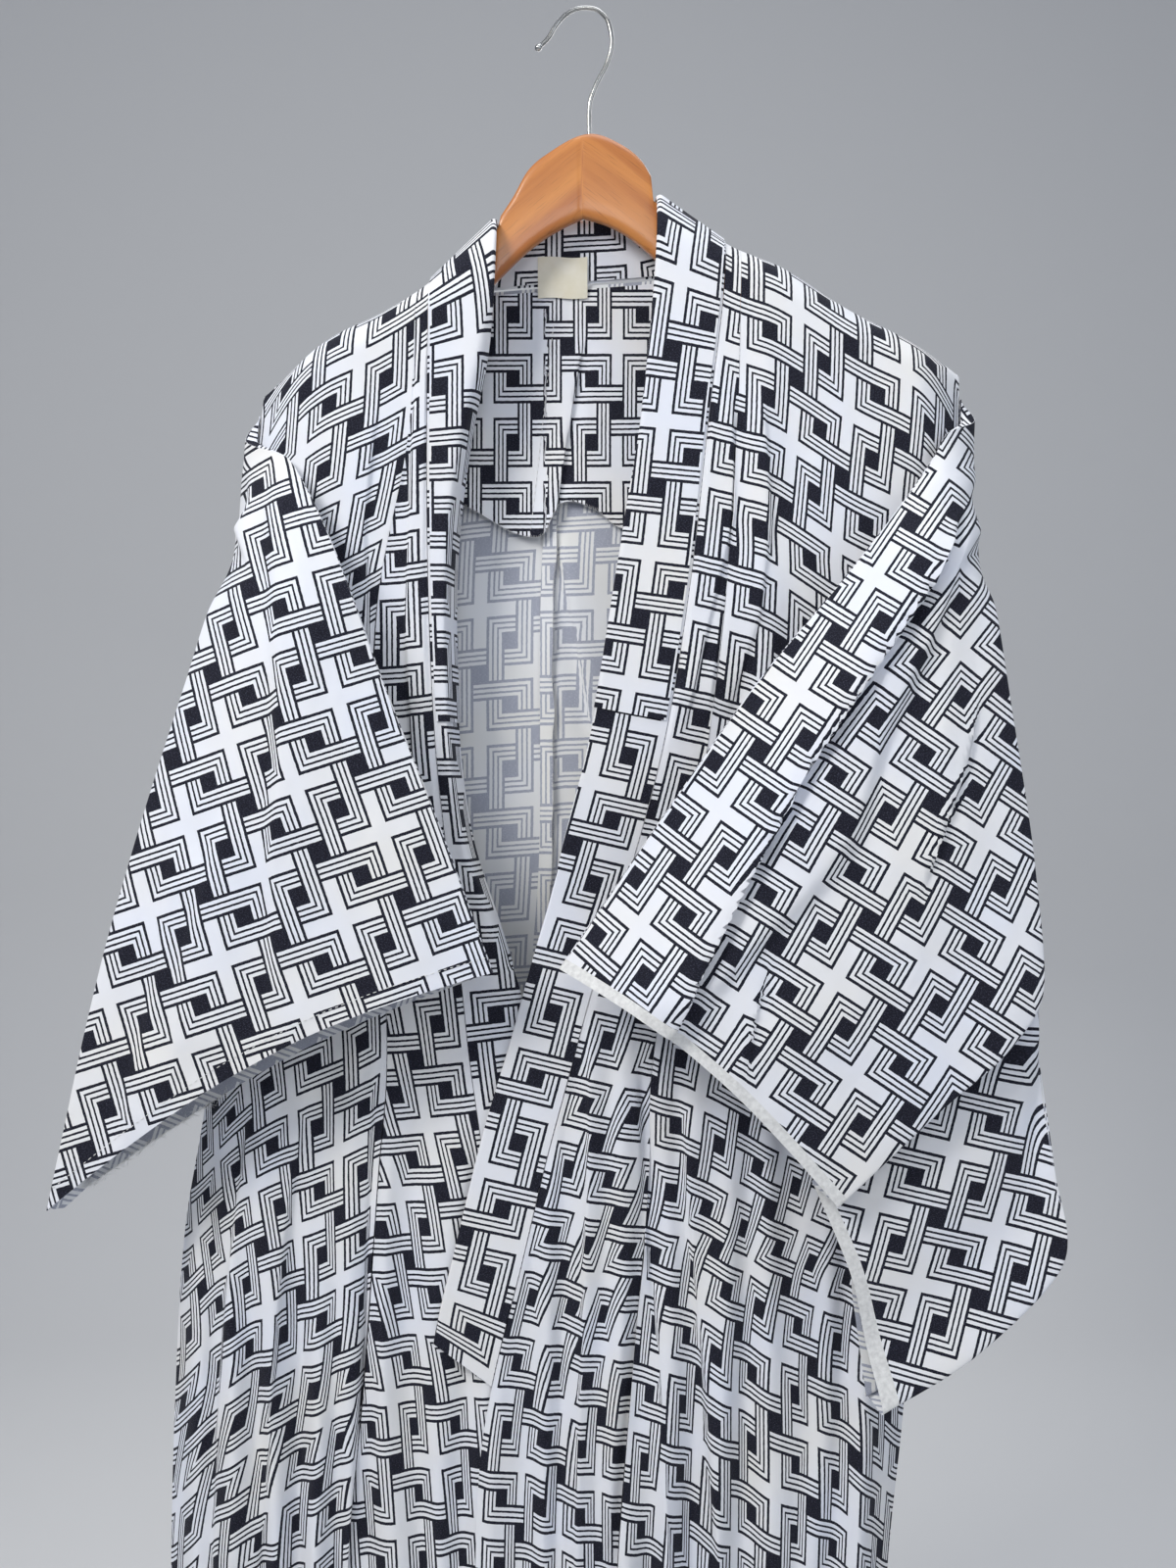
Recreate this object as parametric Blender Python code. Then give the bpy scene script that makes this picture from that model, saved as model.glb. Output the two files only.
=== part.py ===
"""Cotton yukata, an unlined kimono, hanging open on a wooden coat hanger.

Metres, +Z up. The origin is the inside top of the hanger's hook. The garment's front faces -Y, and
+X is the wearer's left. Tables are in centimetres, heights as the drop below the origin where a
column is called down, and their readers turn them into metres.
"""

import math
from bisect import bisect_right
from collections import namedtuple
from functools import partial

import bpy
from mathutils import Vector

CM = 0.01

# Driving sizes
CLOTH = 0.0015
COLLAR_WALL = 0.003
COVER_WALL = 0.001
LABEL_WALL = 0.001
SEAM = 0.0003
NECK_GAP = 0.0018
HEM_DOWN = 1.58
COLLAR_END_DOWN = 1.136
COLLAR_WIDTH = 0.056
COVER_END_DOWN = 0.60
COVER_START = 0.002
BODY_DEPTH = 0.030
TOP_ROUND = 0.030
SIDE_ROUND = 0.045
ARMHOLE_DOWN = 0.70
ARMHOLE_GAPE = 0.012
FRONT_LIFT = 0.007
SLEEVE_NOSE = 0.003
SLEEVE_CLEAR = 0.008
WOOD_HALF = 0.0070
WOOD_GAP = 0.0012
WIRE = 0.0019
TIP_BALL = 0.0030

RIGHT, LEFT = -1, 1  # the wearer's right is at -X and lies under the left front

Across = namedtuple("Across", "x z")
Sides = namedtuple("Sides", "down right left")
Band = namedtuple("Band", "down right_reach right_rise left_reach left_rise")
BackBand = namedtuple("BackBand", "x reach rise lean")
Fold = namedtuple("Fold", "side x_top x_hem starts full width depth")
Line = namedtuple("Line", "along x y z")

# Top of the cloth along the hanger's arms, and the seam of the back neck
RIDGE = [
    Across(-32.0, -36.0),
    Across(-26.9, -32.2),
    Across(-21.7, -27.7),
    Across(-16.8, -25.2),
    Across(-13.2, -22.9),
    Across(-8.0, -18.0),
    Across(0.0, -13.3),
    Across(6.5, -15.8),
    Across(11.4, -19.6),
    Across(16.0, -21.6),
    Across(21.7, -25.2),
    Across(26.6, -27.7),
    Across(31.0, -30.6),
    Across(35.0, -34.0),
]
NECK = [
    Across(-13.2, -22.9),
    Across(-10.5, -23.0),
    Across(-7.9, -22.7),
    Across(5.6, -21.7),
    Across(9.0, -21.3),
    Across(11.4, -19.6),
]

# Vertical edges and seams, as x on the wearer's right and left
SIDE_SEAM = [
    Sides(30.0, -26.9, 31.0),
    Sides(71.0, -30.0, 29.5),
    Sides(91.6, -32.0, 28.2),
    Sides(101.5, -33.6, 27.3),
    Sides(117.0, -34.5, 26.3),
    Sides(130.0, -34.8, 25.0),
    Sides(158.0, -35.0, 24.5),
]
COLLAR_SEAM = [
    Sides(19.0, -13.1, 11.4),
    Sides(24.5, -13.1, 11.1),
    Sides(33.7, -13.2, 10.0),
    Sides(48.0, -13.1, 8.4),
    Sides(61.4, -12.5, 6.2),
    Sides(72.6, -11.3, 3.2),
    Sides(81.6, -10.3, 0.3),
    Sides(87.2, -9.7, -1.2),
    Sides(95.0, -8.6, -3.3),
    Sides(103.4, -7.5, -5.3),
    Sides(113.6, -6.2, -7.8),
    Sides(119.0, -5.8, -8.7),
    Sides(130.0, -5.2, -9.2),
    Sides(158.0, -5.0, -9.6),
]
OVERLAP_SEAM = [
    Sides(19.0, -14.0, 12.6),
    Sides(24.0, -14.1, 12.5),
    Sides(36.0, -14.7, 12.2),
    Sides(50.0, -17.2, 11.2),
    Sides(72.0, -17.0, 8.2),
    Sides(88.0, -16.4, 5.2),
    Sides(96.0, -17.0, 5.0),
    Sides(113.0, -18.2, 3.6),
    Sides(128.0, -19.6, 2.4),
    Sides(158.0, -20.2, 2.0),
]
BACK_SEAM = [
    Across(21.5, -1.2),
    Across(43.5, -3.8),
    Across(71.6, -4.2),
    Across(81.0, -4.8),
    Across(158.0, -5.2),
]

# How far the collar shows from its seam: the rest of its width is turned in behind
COLLAR_BAND = [
    Band(19.6, 5.2, 5.0, 5.3, 3.8),
    Band(22.9, 5.2, 5.0, 5.3, 2.4),
    Band(25.5, 5.2, 3.0, 5.3, 1.7),
    Band(30.0, 4.7, 1.0, 5.2, 0.9),
    Band(36.0, 3.3, 0.3, 5.2, 0.5),
    Band(43.0, 2.2, 0.0, 5.6, 0.6),
    Band(50.0, 1.7, 0.0, 5.8, 0.8),
    Band(57.0, 1.6, 0.0, 5.8, 1.0),
    Band(64.0, 1.6, 0.0, 5.7, 1.2),
    Band(70.0, 2.0, 0.0, 5.6, 1.3),
    Band(76.0, 3.4, 0.0, 5.2, 1.3),
    Band(84.0, 4.8, 0.6, 5.0, 1.2),
    Band(94.0, 5.4, 0.8, 5.2, 1.3),
    Band(106.0, 5.4, 0.8, 5.2, 1.4),
    Band(113.6, 5.0, 2.6, 4.6, 3.4),
]
BACK_BAND = [
    BackBand(-13.2, 5.2, 5.0, 0.0),
    BackBand(-12.0, 4.2, 5.0, 0.9),
    BackBand(-10.5, 2.8, 5.0, 1.0),
    BackBand(-8.5, 1.2, 4.8, 1.1),
    BackBand(-5.0, 0.2, 4.7, 1.2),
    BackBand(-1.2, 0.0, 4.7, 1.3),
    BackBand(3.0, -0.2, 4.7, 1.2),
    BackBand(7.0, -1.4, 4.8, 1.1),
    BackBand(9.2, -3.2, 4.7, 1.2),
    BackBand(10.6, -4.5, 4.3, 1.2),
    BackBand(11.4, -5.3, 3.8, 0.0),
]

# Soft vertical folds: x at the start and at the hem, the drop where each starts and is full
FRONT_FOLDS = [
    Fold(RIGHT, -25.5, -31.0, 60.0, 120.0, 1.5, 0.9),
    Fold(RIGHT, -22.5, -27.0, 50.0, 125.0, 1.4, 1.1),
    Fold(RIGHT, -20.0, -22.8, 70.0, 130.0, 1.2, 1.2),
    Fold(RIGHT, -20.0, -15.6, 30.0, 60.0, 1.6, 0.5),
    Fold(LEFT, 8.0, 0.0, 90.0, 125.0, 1.2, 0.7),
    Fold(LEFT, 9.0, 5.4, 75.0, 120.0, 1.2, 1.2),
    Fold(LEFT, 13.5, 9.0, 60.0, 120.0, 1.3, 1.1),
    Fold(LEFT, 19.0, 14.6, 80.0, 130.0, 1.6, 0.9),
    Fold(LEFT, 24.0, 20.2, 90.0, 135.0, 1.6, 0.7),
    Fold(LEFT, 14.6, 14.0, 21.0, 40.0, 1.4, 0.6),
]
BACK_FOLDS = [
    Fold(RIGHT, -22.0, -29.0, 50.0, 130.0, 1.8, 0.9),
    Fold(RIGHT, -17.0, -21.0, 40.0, 120.0, 1.7, 0.8),
    Fold(RIGHT, -11.0, -13.0, 60.0, 140.0, 1.8, 0.7),
    Fold(LEFT, 4.0, 2.0, 50.0, 130.0, 1.8, 0.7),
    Fold(LEFT, 12.0, 10.0, 40.0, 120.0, 1.7, 0.9),
    Fold(LEFT, 20.0, 17.5, 55.0, 135.0, 1.8, 0.9),
]

# Sleeve lines from the armhole (0) to the cuff (1): the top fold, the outer edge seen from the
# front, the corner behind it and the bottom seam
RIGHT_FOLD = [
    Line(0.00, -27.2, 0.0, -34.0),
    Line(0.22, -21.7, -5.8, -42.6),
    Line(0.55, -15.5, -7.6, -58.4),
    Line(0.72, -12.4, -8.0, -66.1),
    Line(1.00, -7.5, -8.4, -79.4),
]
RIGHT_EDGE = [
    Line(0.00, -27.4, 0.2, -35.0),
    Line(0.12, -27.9, -2.8, -39.6),
    Line(0.22, -29.4, -4.6, -46.7),
    Line(0.55, -35.8, -7.2, -69.2),
    Line(0.72, -38.6, -7.9, -80.0),
    Line(1.00, -42.4, -8.4, -98.0),
]
RIGHT_CORNER = [
    Line(0.00, -28.9, 1.1, -52.0),
    Line(0.22, -31.2, -0.6, -62.0),
    Line(0.55, -35.8, -4.4, -78.0),
    Line(0.72, -38.4, -5.8, -86.0),
    Line(1.00, -41.6, -6.9, -98.2),
]
RIGHT_UNDER = [
    Line(0.00, -30.0, 0.0, -70.4),
    Line(0.22, -32.0, -1.6, -75.8),
    Line(0.55, -34.8, -4.4, -84.2),
    Line(0.72, -36.6, -5.2, -89.0),
    Line(1.00, -39.8, -6.2, -96.6),
]
LEFT_FOLD = [
    Line(0.00, 31.2, 0.0, -32.6),
    Line(0.17, 27.9, -4.6, -38.3),
    Line(0.32, 22.4, -6.4, -45.8),
    Line(0.50, 13.8, -7.6, -56.1),
    Line(0.70, 7.3, -8.2, -65.2),
    Line(1.00, -2.2, -8.6, -79.1),
]
LEFT_EDGE = [
    Line(0.00, 31.4, 0.2, -33.6),
    Line(0.17, 31.7, -4.6, -43.4),
    Line(0.32, 32.9, -6.6, -54.0),
    Line(0.50, 35.2, -8.4, -73.0),
    Line(0.60, 35.0, -9.8, -82.6),
    Line(0.70, 31.4, -10.6, -86.0),
    Line(0.80, 27.3, -11.0, -89.5),
    Line(1.00, 19.2, -11.0, -97.1),
]
LEFT_CORNER = [
    Line(0.00, 30.9, 1.1, -51.0),
    Line(0.17, 32.2, 0.2, -62.0),
    Line(0.32, 33.6, -2.2, -72.0),
    Line(0.50, 35.4, -5.6, -84.0),
    Line(0.60, 36.2, -7.2, -90.4),
    Line(0.70, 36.9, -8.0, -96.6),
    Line(0.80, 37.2, -8.4, -102.6),
    Line(0.90, 30.5, -8.6, -109.4),
    Line(1.00, 23.1, -8.7, -114.0),
]
LEFT_UNDER = [
    Line(0.00, 29.9, 0.0, -69.4),
    Line(0.17, 31.2, -1.8, -76.0),
    Line(0.32, 32.2, -3.4, -82.0),
    Line(0.50, 33.4, -5.2, -90.6),
    Line(0.70, 34.4, -6.4, -99.0),
    Line(0.80, 34.6, -6.8, -103.6),
    Line(0.90, 29.0, -7.0, -108.8),
    Line(1.00, 22.0, -7.0, -113.0),
]

# Hanger: lower edge, and the upper edge where the wood shows
WOOD_BOTTOM = [
    Across(-22.4, -30.2),
    Across(-16.0, -28.4),
    Across(-7.9, -23.0),
    Across(-0.4, -17.4),
    Across(6.0, -21.2),
    Across(14.0, -25.4),
    Across(22.0, -28.2),
]
WOOD_TOP = [
    Across(-7.3, -17.3),
    Across(-6.2, -15.6),
    Across(-5.1, -13.6),
    Across(-3.3, -12.0),
    Across(0.1, -10.4),
    Across(2.6, -11.2),
    Across(4.5, -12.7),
    Across(5.3, -14.0),
]
UNDER_COLLAR = [
    [Across(-13.7, -24.1), Across(-7.4, -18.1)],
    [Across(5.4, -15.95), Across(12.5, -21.05)],
]
HOOK_PATH = [
    Across(0.1, -10.52),
    Across(0.15, -7.8),
    Across(0.7, -6.2),
    Across(1.6, -4.4),
    Across(2.0, -2.6),
    Across(1.6, -0.8),
    Across(0.8, 0.0),
    Across(0.0, 0.19),
    Across(-1.0, 0.1),
    Across(-1.9, -0.4),
    Across(-2.7, -1.3),
    Across(-3.3, -2.3),
    Across(-4.0, -3.0),
]
YOKE_HEM = [
    Across(-14.0, -40.5),
    Across(-10.8, -40.9),
    Across(-5.2, -43.6),
    Across(-3.6, -43.2),
    Across(-2.8, -41.3),
    Across(0.4, -41.2),
    Across(2.6, -42.8),
    Across(8.0, -42.2),
    Across(12.0, -41.0),
]


def read(table, column, at):
    """A column of a table on a smooth curve through its rows, which rise by their first column."""
    keys = [row[0] * (1.0 if table[0]._fields[0] == "along" else CM) for row in table]
    values = [getattr(row, column) * CM for row in table]
    if at <= keys[0]:
        return values[0]
    if at >= keys[-1]:
        return values[-1]
    i = bisect_right(keys, at) - 1
    slopes = [(values[j + 1] - values[j]) / (keys[j + 1] - keys[j]) for j in range(len(keys) - 1)]
    before = slopes[i - 1] if i else slopes[i]
    after = slopes[i + 1] if i + 1 < len(slopes) else slopes[i]
    start, end = (before + slopes[i]) / 2, (slopes[i] + after) / 2
    run = keys[i + 1] - keys[i]
    t = (at - keys[i]) / run
    return (
        values[i] * (1 + 2 * t) * (1 - t) ** 2
        + values[i + 1] * t * t * (3 - 2 * t)
        + run * t * (1 - t) * (start * (1 - t) - end * t)
    )


def ramp(share):
    """A soft step from 0 to 1."""
    share = min(max(share, 0.0), 1.0)
    return share * share * (3 - 2 * share)


def bulge(share):
    """A quarter ellipse, upright at 0 and level at 1."""
    return math.sqrt(max(0.0, 1 - (1 - min(max(share, 0.0), 1.0)) ** 2))


def mix(start, end, share):
    return start + (end - start) * share


def side_name(side):
    return "right" if side == RIGHT else "left"


def edge_x(table, side, z):
    return read(table, side_name(side), -z)


def ridge_z(x):
    return read(RIDGE, "z", x)


def neck_z(x):
    """Top edge of the back panels: the ridge, and the neck's seam between its ends."""
    if NECK[0].x * CM < x < NECK[-1].x * CM:
        return min(ridge_z(x), read(NECK, "z", x))
    return ridge_z(x)


def armhole_gape(side, z):
    """How far each body edge stands from the middle plane along the armhole."""
    top = ridge_z(edge_x(SIDE_SEAM, side, z))
    share = (top - z) / (ARMHOLE_DOWN + top)
    return ARMHOLE_GAPE * math.sin(math.pi * share) if 0 < share < 1 else 0.0


def half_depth(x, z):
    """Half the thickness of the hanging body, front to back, at a point seen from the front."""
    side = RIGHT if x < 0 else LEFT
    top = bulge((ridge_z(x) - z) / TOP_ROUND)
    gape = armhole_gape(side, z)
    rim = 1 - (1 - min(max((edge_x(SIDE_SEAM, side, z) - x) * side / SIDE_ROUND, 0.0), 1.0)) ** 2
    return top * (gape + (BODY_DEPTH - gape) * rim)


def folds(table, side, x, z):
    """Height of the soft folds at a point."""
    height = 0.0
    for fold in table:
        if fold.side != side:
            continue
        down = -z / CM
        axis = mix(fold.x_top, fold.x_hem, min(max((down - fold.starts) / (158 - fold.starts), 0), 1))
        near = math.exp(-(((x / CM - axis) / fold.width) ** 2))
        height += fold.depth * CM * near * ramp((down - fold.starts) / (fold.full - fold.starts))
    fade = ramp((edge_x(SIDE_SEAM, side, z) - x) * side / 0.03)
    return height * fade


def front_y(side, x, z):
    """The front panels' outside, the wearer's left lifted clear of the right where it crosses."""
    y = half_depth(x, z) + folds(FRONT_FOLDS, side, x, z) + SEAM / 2
    if side == LEFT:
        y += FRONT_LIFT * ramp((0.08 - x) / 0.08) * ramp((-z - 0.74) / 0.08)
    return -y


def back_y(side, x, z):
    return half_depth(x, z) + folds(BACK_FOLDS, side, x, z) + SEAM / 2


def panel_rows(top):
    """Heights of a panel's rows, close together where the cloth turns over the hanger."""
    over = [0.0, 0.002, 0.008, 0.018, 0.032, 0.055, 0.09]
    rows = [top - step for step in over]
    rows += [mix(rows[-1], -COLLAR_END_DOWN, i / 10) for i in range(1, 11)]
    start = rows[-1]
    return rows + [mix(start, -HEM_DOWN, i / 5) for i in range(1, 6)]


def top_of(x_at, top_z, share):
    """Where a panel's vertical line meets the panel's top edge."""
    z = -0.3
    for _ in range(30):
        z = mix(z, top_z(x_at(share, z)), 0.7)
    return z


def split(verts, face):
    """A four-sided face as two triangles along its shorter diagonal, so that layers match."""
    if len(face) != 4:
        return [face]
    a, b, c, d = face
    if (verts[a] - verts[c]).length <= (verts[b] - verts[d]).length:
        return [(a, b, c), (a, c, d)]
    return [(a, b, d), (b, c, d)]


def solid(name, verts, faces, colour, rough=0.85, metallic=0.0, smooth=True):
    """One closed body with its own plain material."""
    mesh = bpy.data.meshes.new(name)
    faces = [part for face in faces for part in split(verts, face)]
    mesh.from_pydata([tuple(v) for v in verts], [], faces)
    mesh.validate()
    volume = sum(
        mesh.vertices[a].co.dot(mesh.vertices[b].co.cross(mesh.vertices[c].co))
        for face in mesh.polygons
        for a, b, c in [
            (face.vertices[0], face.vertices[i], face.vertices[i + 1])
            for i in range(1, len(face.vertices) - 1)
        ]
    )
    if volume < 0:
        mesh.flip_normals()
    return finished(name, mesh, colour, rough, metallic, smooth)


def finished(name, mesh, colour, rough, metallic, smooth):
    """A mesh as a named object with its shading and its own plain material."""
    if smooth:
        mesh.shade_smooth()
        mesh.set_sharp_from_angle(angle=math.radians(50))
    body = bpy.data.objects.new(name, mesh)
    bpy.context.scene.collection.objects.link(body)
    material = bpy.data.materials.new(name)
    material.use_nodes = True
    shader = material.node_tree.nodes["Principled BSDF"]
    shader.inputs["Base Color"].default_value = (*colour, 1.0)
    shader.inputs["Roughness"].default_value = rough
    shader.inputs["Metallic"].default_value = metallic
    mesh.materials.append(material)
    return body


PRINT = (0.42, 0.43, 0.47)
BARE = (0.80, 0.78, 0.66)
WOOD = (0.50, 0.22, 0.07)
STEEL = (0.60, 0.60, 0.60)


def sheet(name, outside, inside, colour=PRINT):
    """A wall between two grids of points, rows by columns."""
    rows, columns = len(outside), len(outside[0])
    verts = [p for row in outside for p in row] + [p for row in inside for p in row]
    back = rows * columns
    faces = []
    for r in range(rows - 1):
        for c in range(columns - 1):
            a, b = r * columns + c, r * columns + c + 1
            d, e = a + columns, b + columns
            faces.append((a, b, e, d))
            faces.append((back + a, back + d, back + e, back + b))
    rim = [(0, c) for c in range(columns)] + [(r, columns - 1) for r in range(1, rows)]
    rim += [(rows - 1, c) for c in range(columns - 2, -1, -1)] + [(r, 0) for r in range(rows - 2, 0, -1)]
    ids = [r * columns + c for r, c in rim]
    for a, b in zip(ids, ids[1:] + ids[:1]):
        faces.append((b, a, back + a, back + b))
    return solid(name, verts, faces, colour)


def bag(name, rings, wall):
    """A cloth wall through closed rings, open at both ends, its thickness inside the rings."""
    around = len(rings[0])
    verts = [p for ring in rings for p in ring]
    faces = []
    for r in range(len(rings) - 1):
        for c in range(around):
            a, b = r * around + c, r * around + (c + 1) % around
            faces.append((a, b, b + around, a + around))
    faces = [part for face in faces for part in split(verts, face)]
    mesh = bpy.data.meshes.new(name)
    mesh.from_pydata([tuple(v) for v in verts], [], faces)
    visible = mesh.polygons[2 * (5 * around + 3)]
    if visible.normal.y > 0:
        mesh.flip_normals()
    body = finished(name, mesh, PRINT, 0.85, 0.0, True)
    thick = body.modifiers.new("Cloth", "SOLIDIFY")
    thick.thickness = wall
    thick.offset = -1.0
    thick.use_even_offset = False
    return body


def bar(name, rings, colour, rough, metallic):
    """A full body through closed rings, with flat ends."""
    around = len(rings[0])
    faces = []
    for r in range(len(rings) - 1):
        for c in range(around):
            a, b = r * around + c, r * around + (c + 1) % around
            faces.append((a, b, b + around, a + around))
    faces.append(tuple(reversed(range(around))))
    faces.append(tuple((len(rings) - 1) * around + c for c in range(around)))
    return solid(name, [p for ring in rings for p in ring], faces, colour, rough, metallic)


def surface_normal(depth_of, x, z, outward):
    """Outward normal of a surface y = depth_of(x, z)."""
    step = 0.001
    dx = (depth_of(x + step, z) - depth_of(x - step, z)) / (2 * step)
    dz = (depth_of(x, z + step) - depth_of(x, z - step)) / (2 * step)
    return Vector((-dx, 1.0, -dz)).normalized() * outward


def body_panel(name, side, depth_of, x_at, top_z, columns, outward):
    """A front, overlap or back panel: straight lines of cloth from the ridge or neck to the hem."""
    lines = []
    for c in range(columns + 1):
        share = c / columns
        heights = panel_rows(top_of(x_at, top_z, share))
        line = []
        for row, z in enumerate(heights):
            x = x_at(share, z)
            normal = surface_normal(depth_of, x, z, outward)
            at_side = abs(x - edge_x(SIDE_SEAM, side, z)) < 0.0005
            closed_side = at_side and armhole_gape(side, z) < 2 * CLOTH
            on_ridge = row == 0 and abs(z - ridge_z(x)) < 1e-6
            if closed_side or on_ridge:
                normal.y = 0.0
            if on_ridge and not at_side:
                normal = Vector((0, 0, 1))
            if closed_side and row:
                normal = Vector((side, 0, 0))
            normal.normalize()
            point = Vector((x, depth_of(x, z), z))
            line.append((point, point - normal * CLOTH))
        lines.append(line)
    outside = [[line[r][0] for line in lines] for r in range(len(lines[0]))]
    inside = [[line[r][1] for line in lines] for r in range(len(lines[0]))]
    return sheet(name, outside, inside)


def fronts():
    for side in (RIGHT, LEFT):
        name = side_name(side)
        depth = partial(front_y, side)
        body_panel(
            f"front_{name}",
            side,
            depth,
            lambda share, z, side=side: mix(
                edge_x(OVERLAP_SEAM, side, z) + side * SEAM / 2, edge_x(SIDE_SEAM, side, z), share
            ),
            ridge_z,
            11,
            -1,
        )
        body_panel(
            f"overlap_{name}",
            side,
            depth,
            lambda share, z, side=side: mix(
                edge_x(COLLAR_SEAM, side, z), edge_x(OVERLAP_SEAM, side, z) - side * SEAM / 2, share
            ),
            ridge_z,
            4,
            -1,
        )


def back_seam_x(z):
    return read(BACK_SEAM, "z", -z)


def backs():
    for side in (RIGHT, LEFT):
        body_panel(
            f"back_{side_name(side)}",
            side,
            partial(back_y, side),
            lambda share, z, side=side: mix(
                back_seam_x(z) + side * SEAM / 2, edge_x(SIDE_SEAM, side, z), share
            ),
            neck_z,
            10,
            1,
        )


CollarStation = namedtuple("CollarStation", "seam reach turned down")


def front_stations(side):
    """Collar stations up one front edge, from the cut end to the ridge."""
    top = top_of(lambda _, z: edge_x(COLLAR_SEAM, side, z), ridge_z, 0)
    stations = []
    for z in reversed([z for z in panel_rows(top)[1:] if z >= -COLLAR_END_DOWN - 1e-6]):
        x = edge_x(COLLAR_SEAM, side, z)
        across = read(COLLAR_BAND, f"{side_name(side)}_reach", -z)
        rise = read(COLLAR_BAND, f"{side_name(side)}_rise", -z)
        reach = Vector((-side * across, 0, rise))
        turned_in = side == RIGHT and 0.26 < -z < 0.80
        turned = max(0.0, COLLAR_WIDTH - reach.length) if turned_in else 0.0
        stations.append(CollarStation(Vector((x, front_y(side, x, z), z)), reach, turned, -z))
    return stations


def back_stations():
    stations = []
    for row in BACK_BAND:
        x = row.x * CM
        z = neck_z(x)
        y = 0.0 if row in (BACK_BAND[0], BACK_BAND[-1]) else back_y(RIGHT if x < 0 else LEFT, x, z)
        reach = Vector((row.reach * CM, -row.lean * CM, row.rise * CM))
        stations.append(CollarStation(Vector((x, y, z)), reach, 0.0, 0.0))
    return stations


def collar_stations():
    """All round the neck, from the right front's end to the left front's."""
    return front_stations(RIGHT) + back_stations() + list(reversed(front_stations(LEFT)))


def collar_section(stations, i):
    """Middle line of the folded band at a station, with the outward direction at each point."""
    here = stations[i]
    before, after = stations[max(i - 1, 0)], stations[min(i + 1, len(stations) - 1)]
    run = (after.seam - before.seam).normalized()
    up = here.reach.normalized()
    out = up.cross(run).normalized()
    start = here.seam - out * CLOTH / 2 + up * (SEAM * 2 if here.down else NECK_GAP)
    crest = here.reach.length - 0.006
    points = [
        start,
        start + up * crest * 0.5,
        start + up * crest,
        start + up * here.reach.length - out * here.turned,
    ]
    corner = (points[3] - points[2]).normalized()
    side_out = corner.cross(up.cross(out)).normalized()
    if side_out.dot(out) + side_out.dot(up) < 0:
        side_out = -side_out
    middle = (out + side_out).normalized()
    return points, [out, out, middle, side_out]


def collar():
    stations = collar_stations()
    rings = []
    for i in range(len(stations)):
        points, outs = collar_section(stations, i)
        half = COLLAR_WALL / 2
        ring = [p + n * half for p, n in zip(points, outs)]
        ring += [p - n * half for p, n in reversed(list(zip(points, outs)))]
        rings.append(ring)
    bar("collar", rings, PRINT, 0.85, 0.0)


def collar_cover():
    """The over-collar, a thin band wrapped round the collar's upper part and open along its seam."""
    stations = collar_stations()
    near = COLLAR_WALL / 2 + 1.5 * SEAM
    far = near + COVER_WALL
    rings = []
    for i, station in enumerate(stations):
        if station.down > COVER_END_DOWN:
            continue
        points, outs = collar_section(stations, i)
        up = (points[1] - points[0]).normalized()
        points[0] = points[0] + up * COVER_START
        tip = (points[3] - points[2]).normalized()
        loop = []
        for reach in (far, near):
            front = [p + n * reach for p, n in zip(points, outs)]
            rear = [p - n * reach for p, n in reversed(list(zip(points, outs)))]
            front[3] = front[3] + tip * (reach - COLLAR_WALL / 2 + SEAM)
            rear[0] = rear[0] + tip * (reach - COLLAR_WALL / 2 + SEAM)
            loop.append(front + rear)
        rings.append(loop[0] + list(reversed(loop[1])))
    bar("over_collar", rings, PRINT, 0.85, 0.0)


def sleeve_point(table, t):
    return Vector((read(table, "x", t), read(table, "y", t), read(table, "z", t)))


def clear_of_body(side, point, away):
    """Keeps a point of a sleeve in front of the front panel."""
    beside = (edge_x(SIDE_SEAM, side, point.z) - point.x) * side
    if point.z > ridge_z(point.x):
        return point
    clear = min(point.y, front_y(side, point.x, point.z) - away)
    return Vector((point.x, mix(point.y, clear, ramp((beside + 0.014) / 0.014)), point.z))


def slid(points, evenly):
    """Points moved along their line, from their own places (0) to even spacing (1)."""
    lengths = [0.0]
    for a, b in zip(points, points[1:]):
        lengths.append(lengths[-1] + (b - a).length)
    last = len(points) - 1
    moved = []
    for i in range(last + 1):
        at = mix(lengths[i], lengths[-1] * i / last, evenly)
        j = min(bisect_right(lengths, at) - 1, last - 1)
        share = (at - lengths[j]) / (lengths[j + 1] - lengths[j])
        moved.append(points[j].lerp(points[j + 1], share))
    return moved


SLEEVE_FACE, SLEEVE_HIDDEN, SLEEVE_INNER = 8, 8, 7  # points on each stretch of a ring


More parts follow.
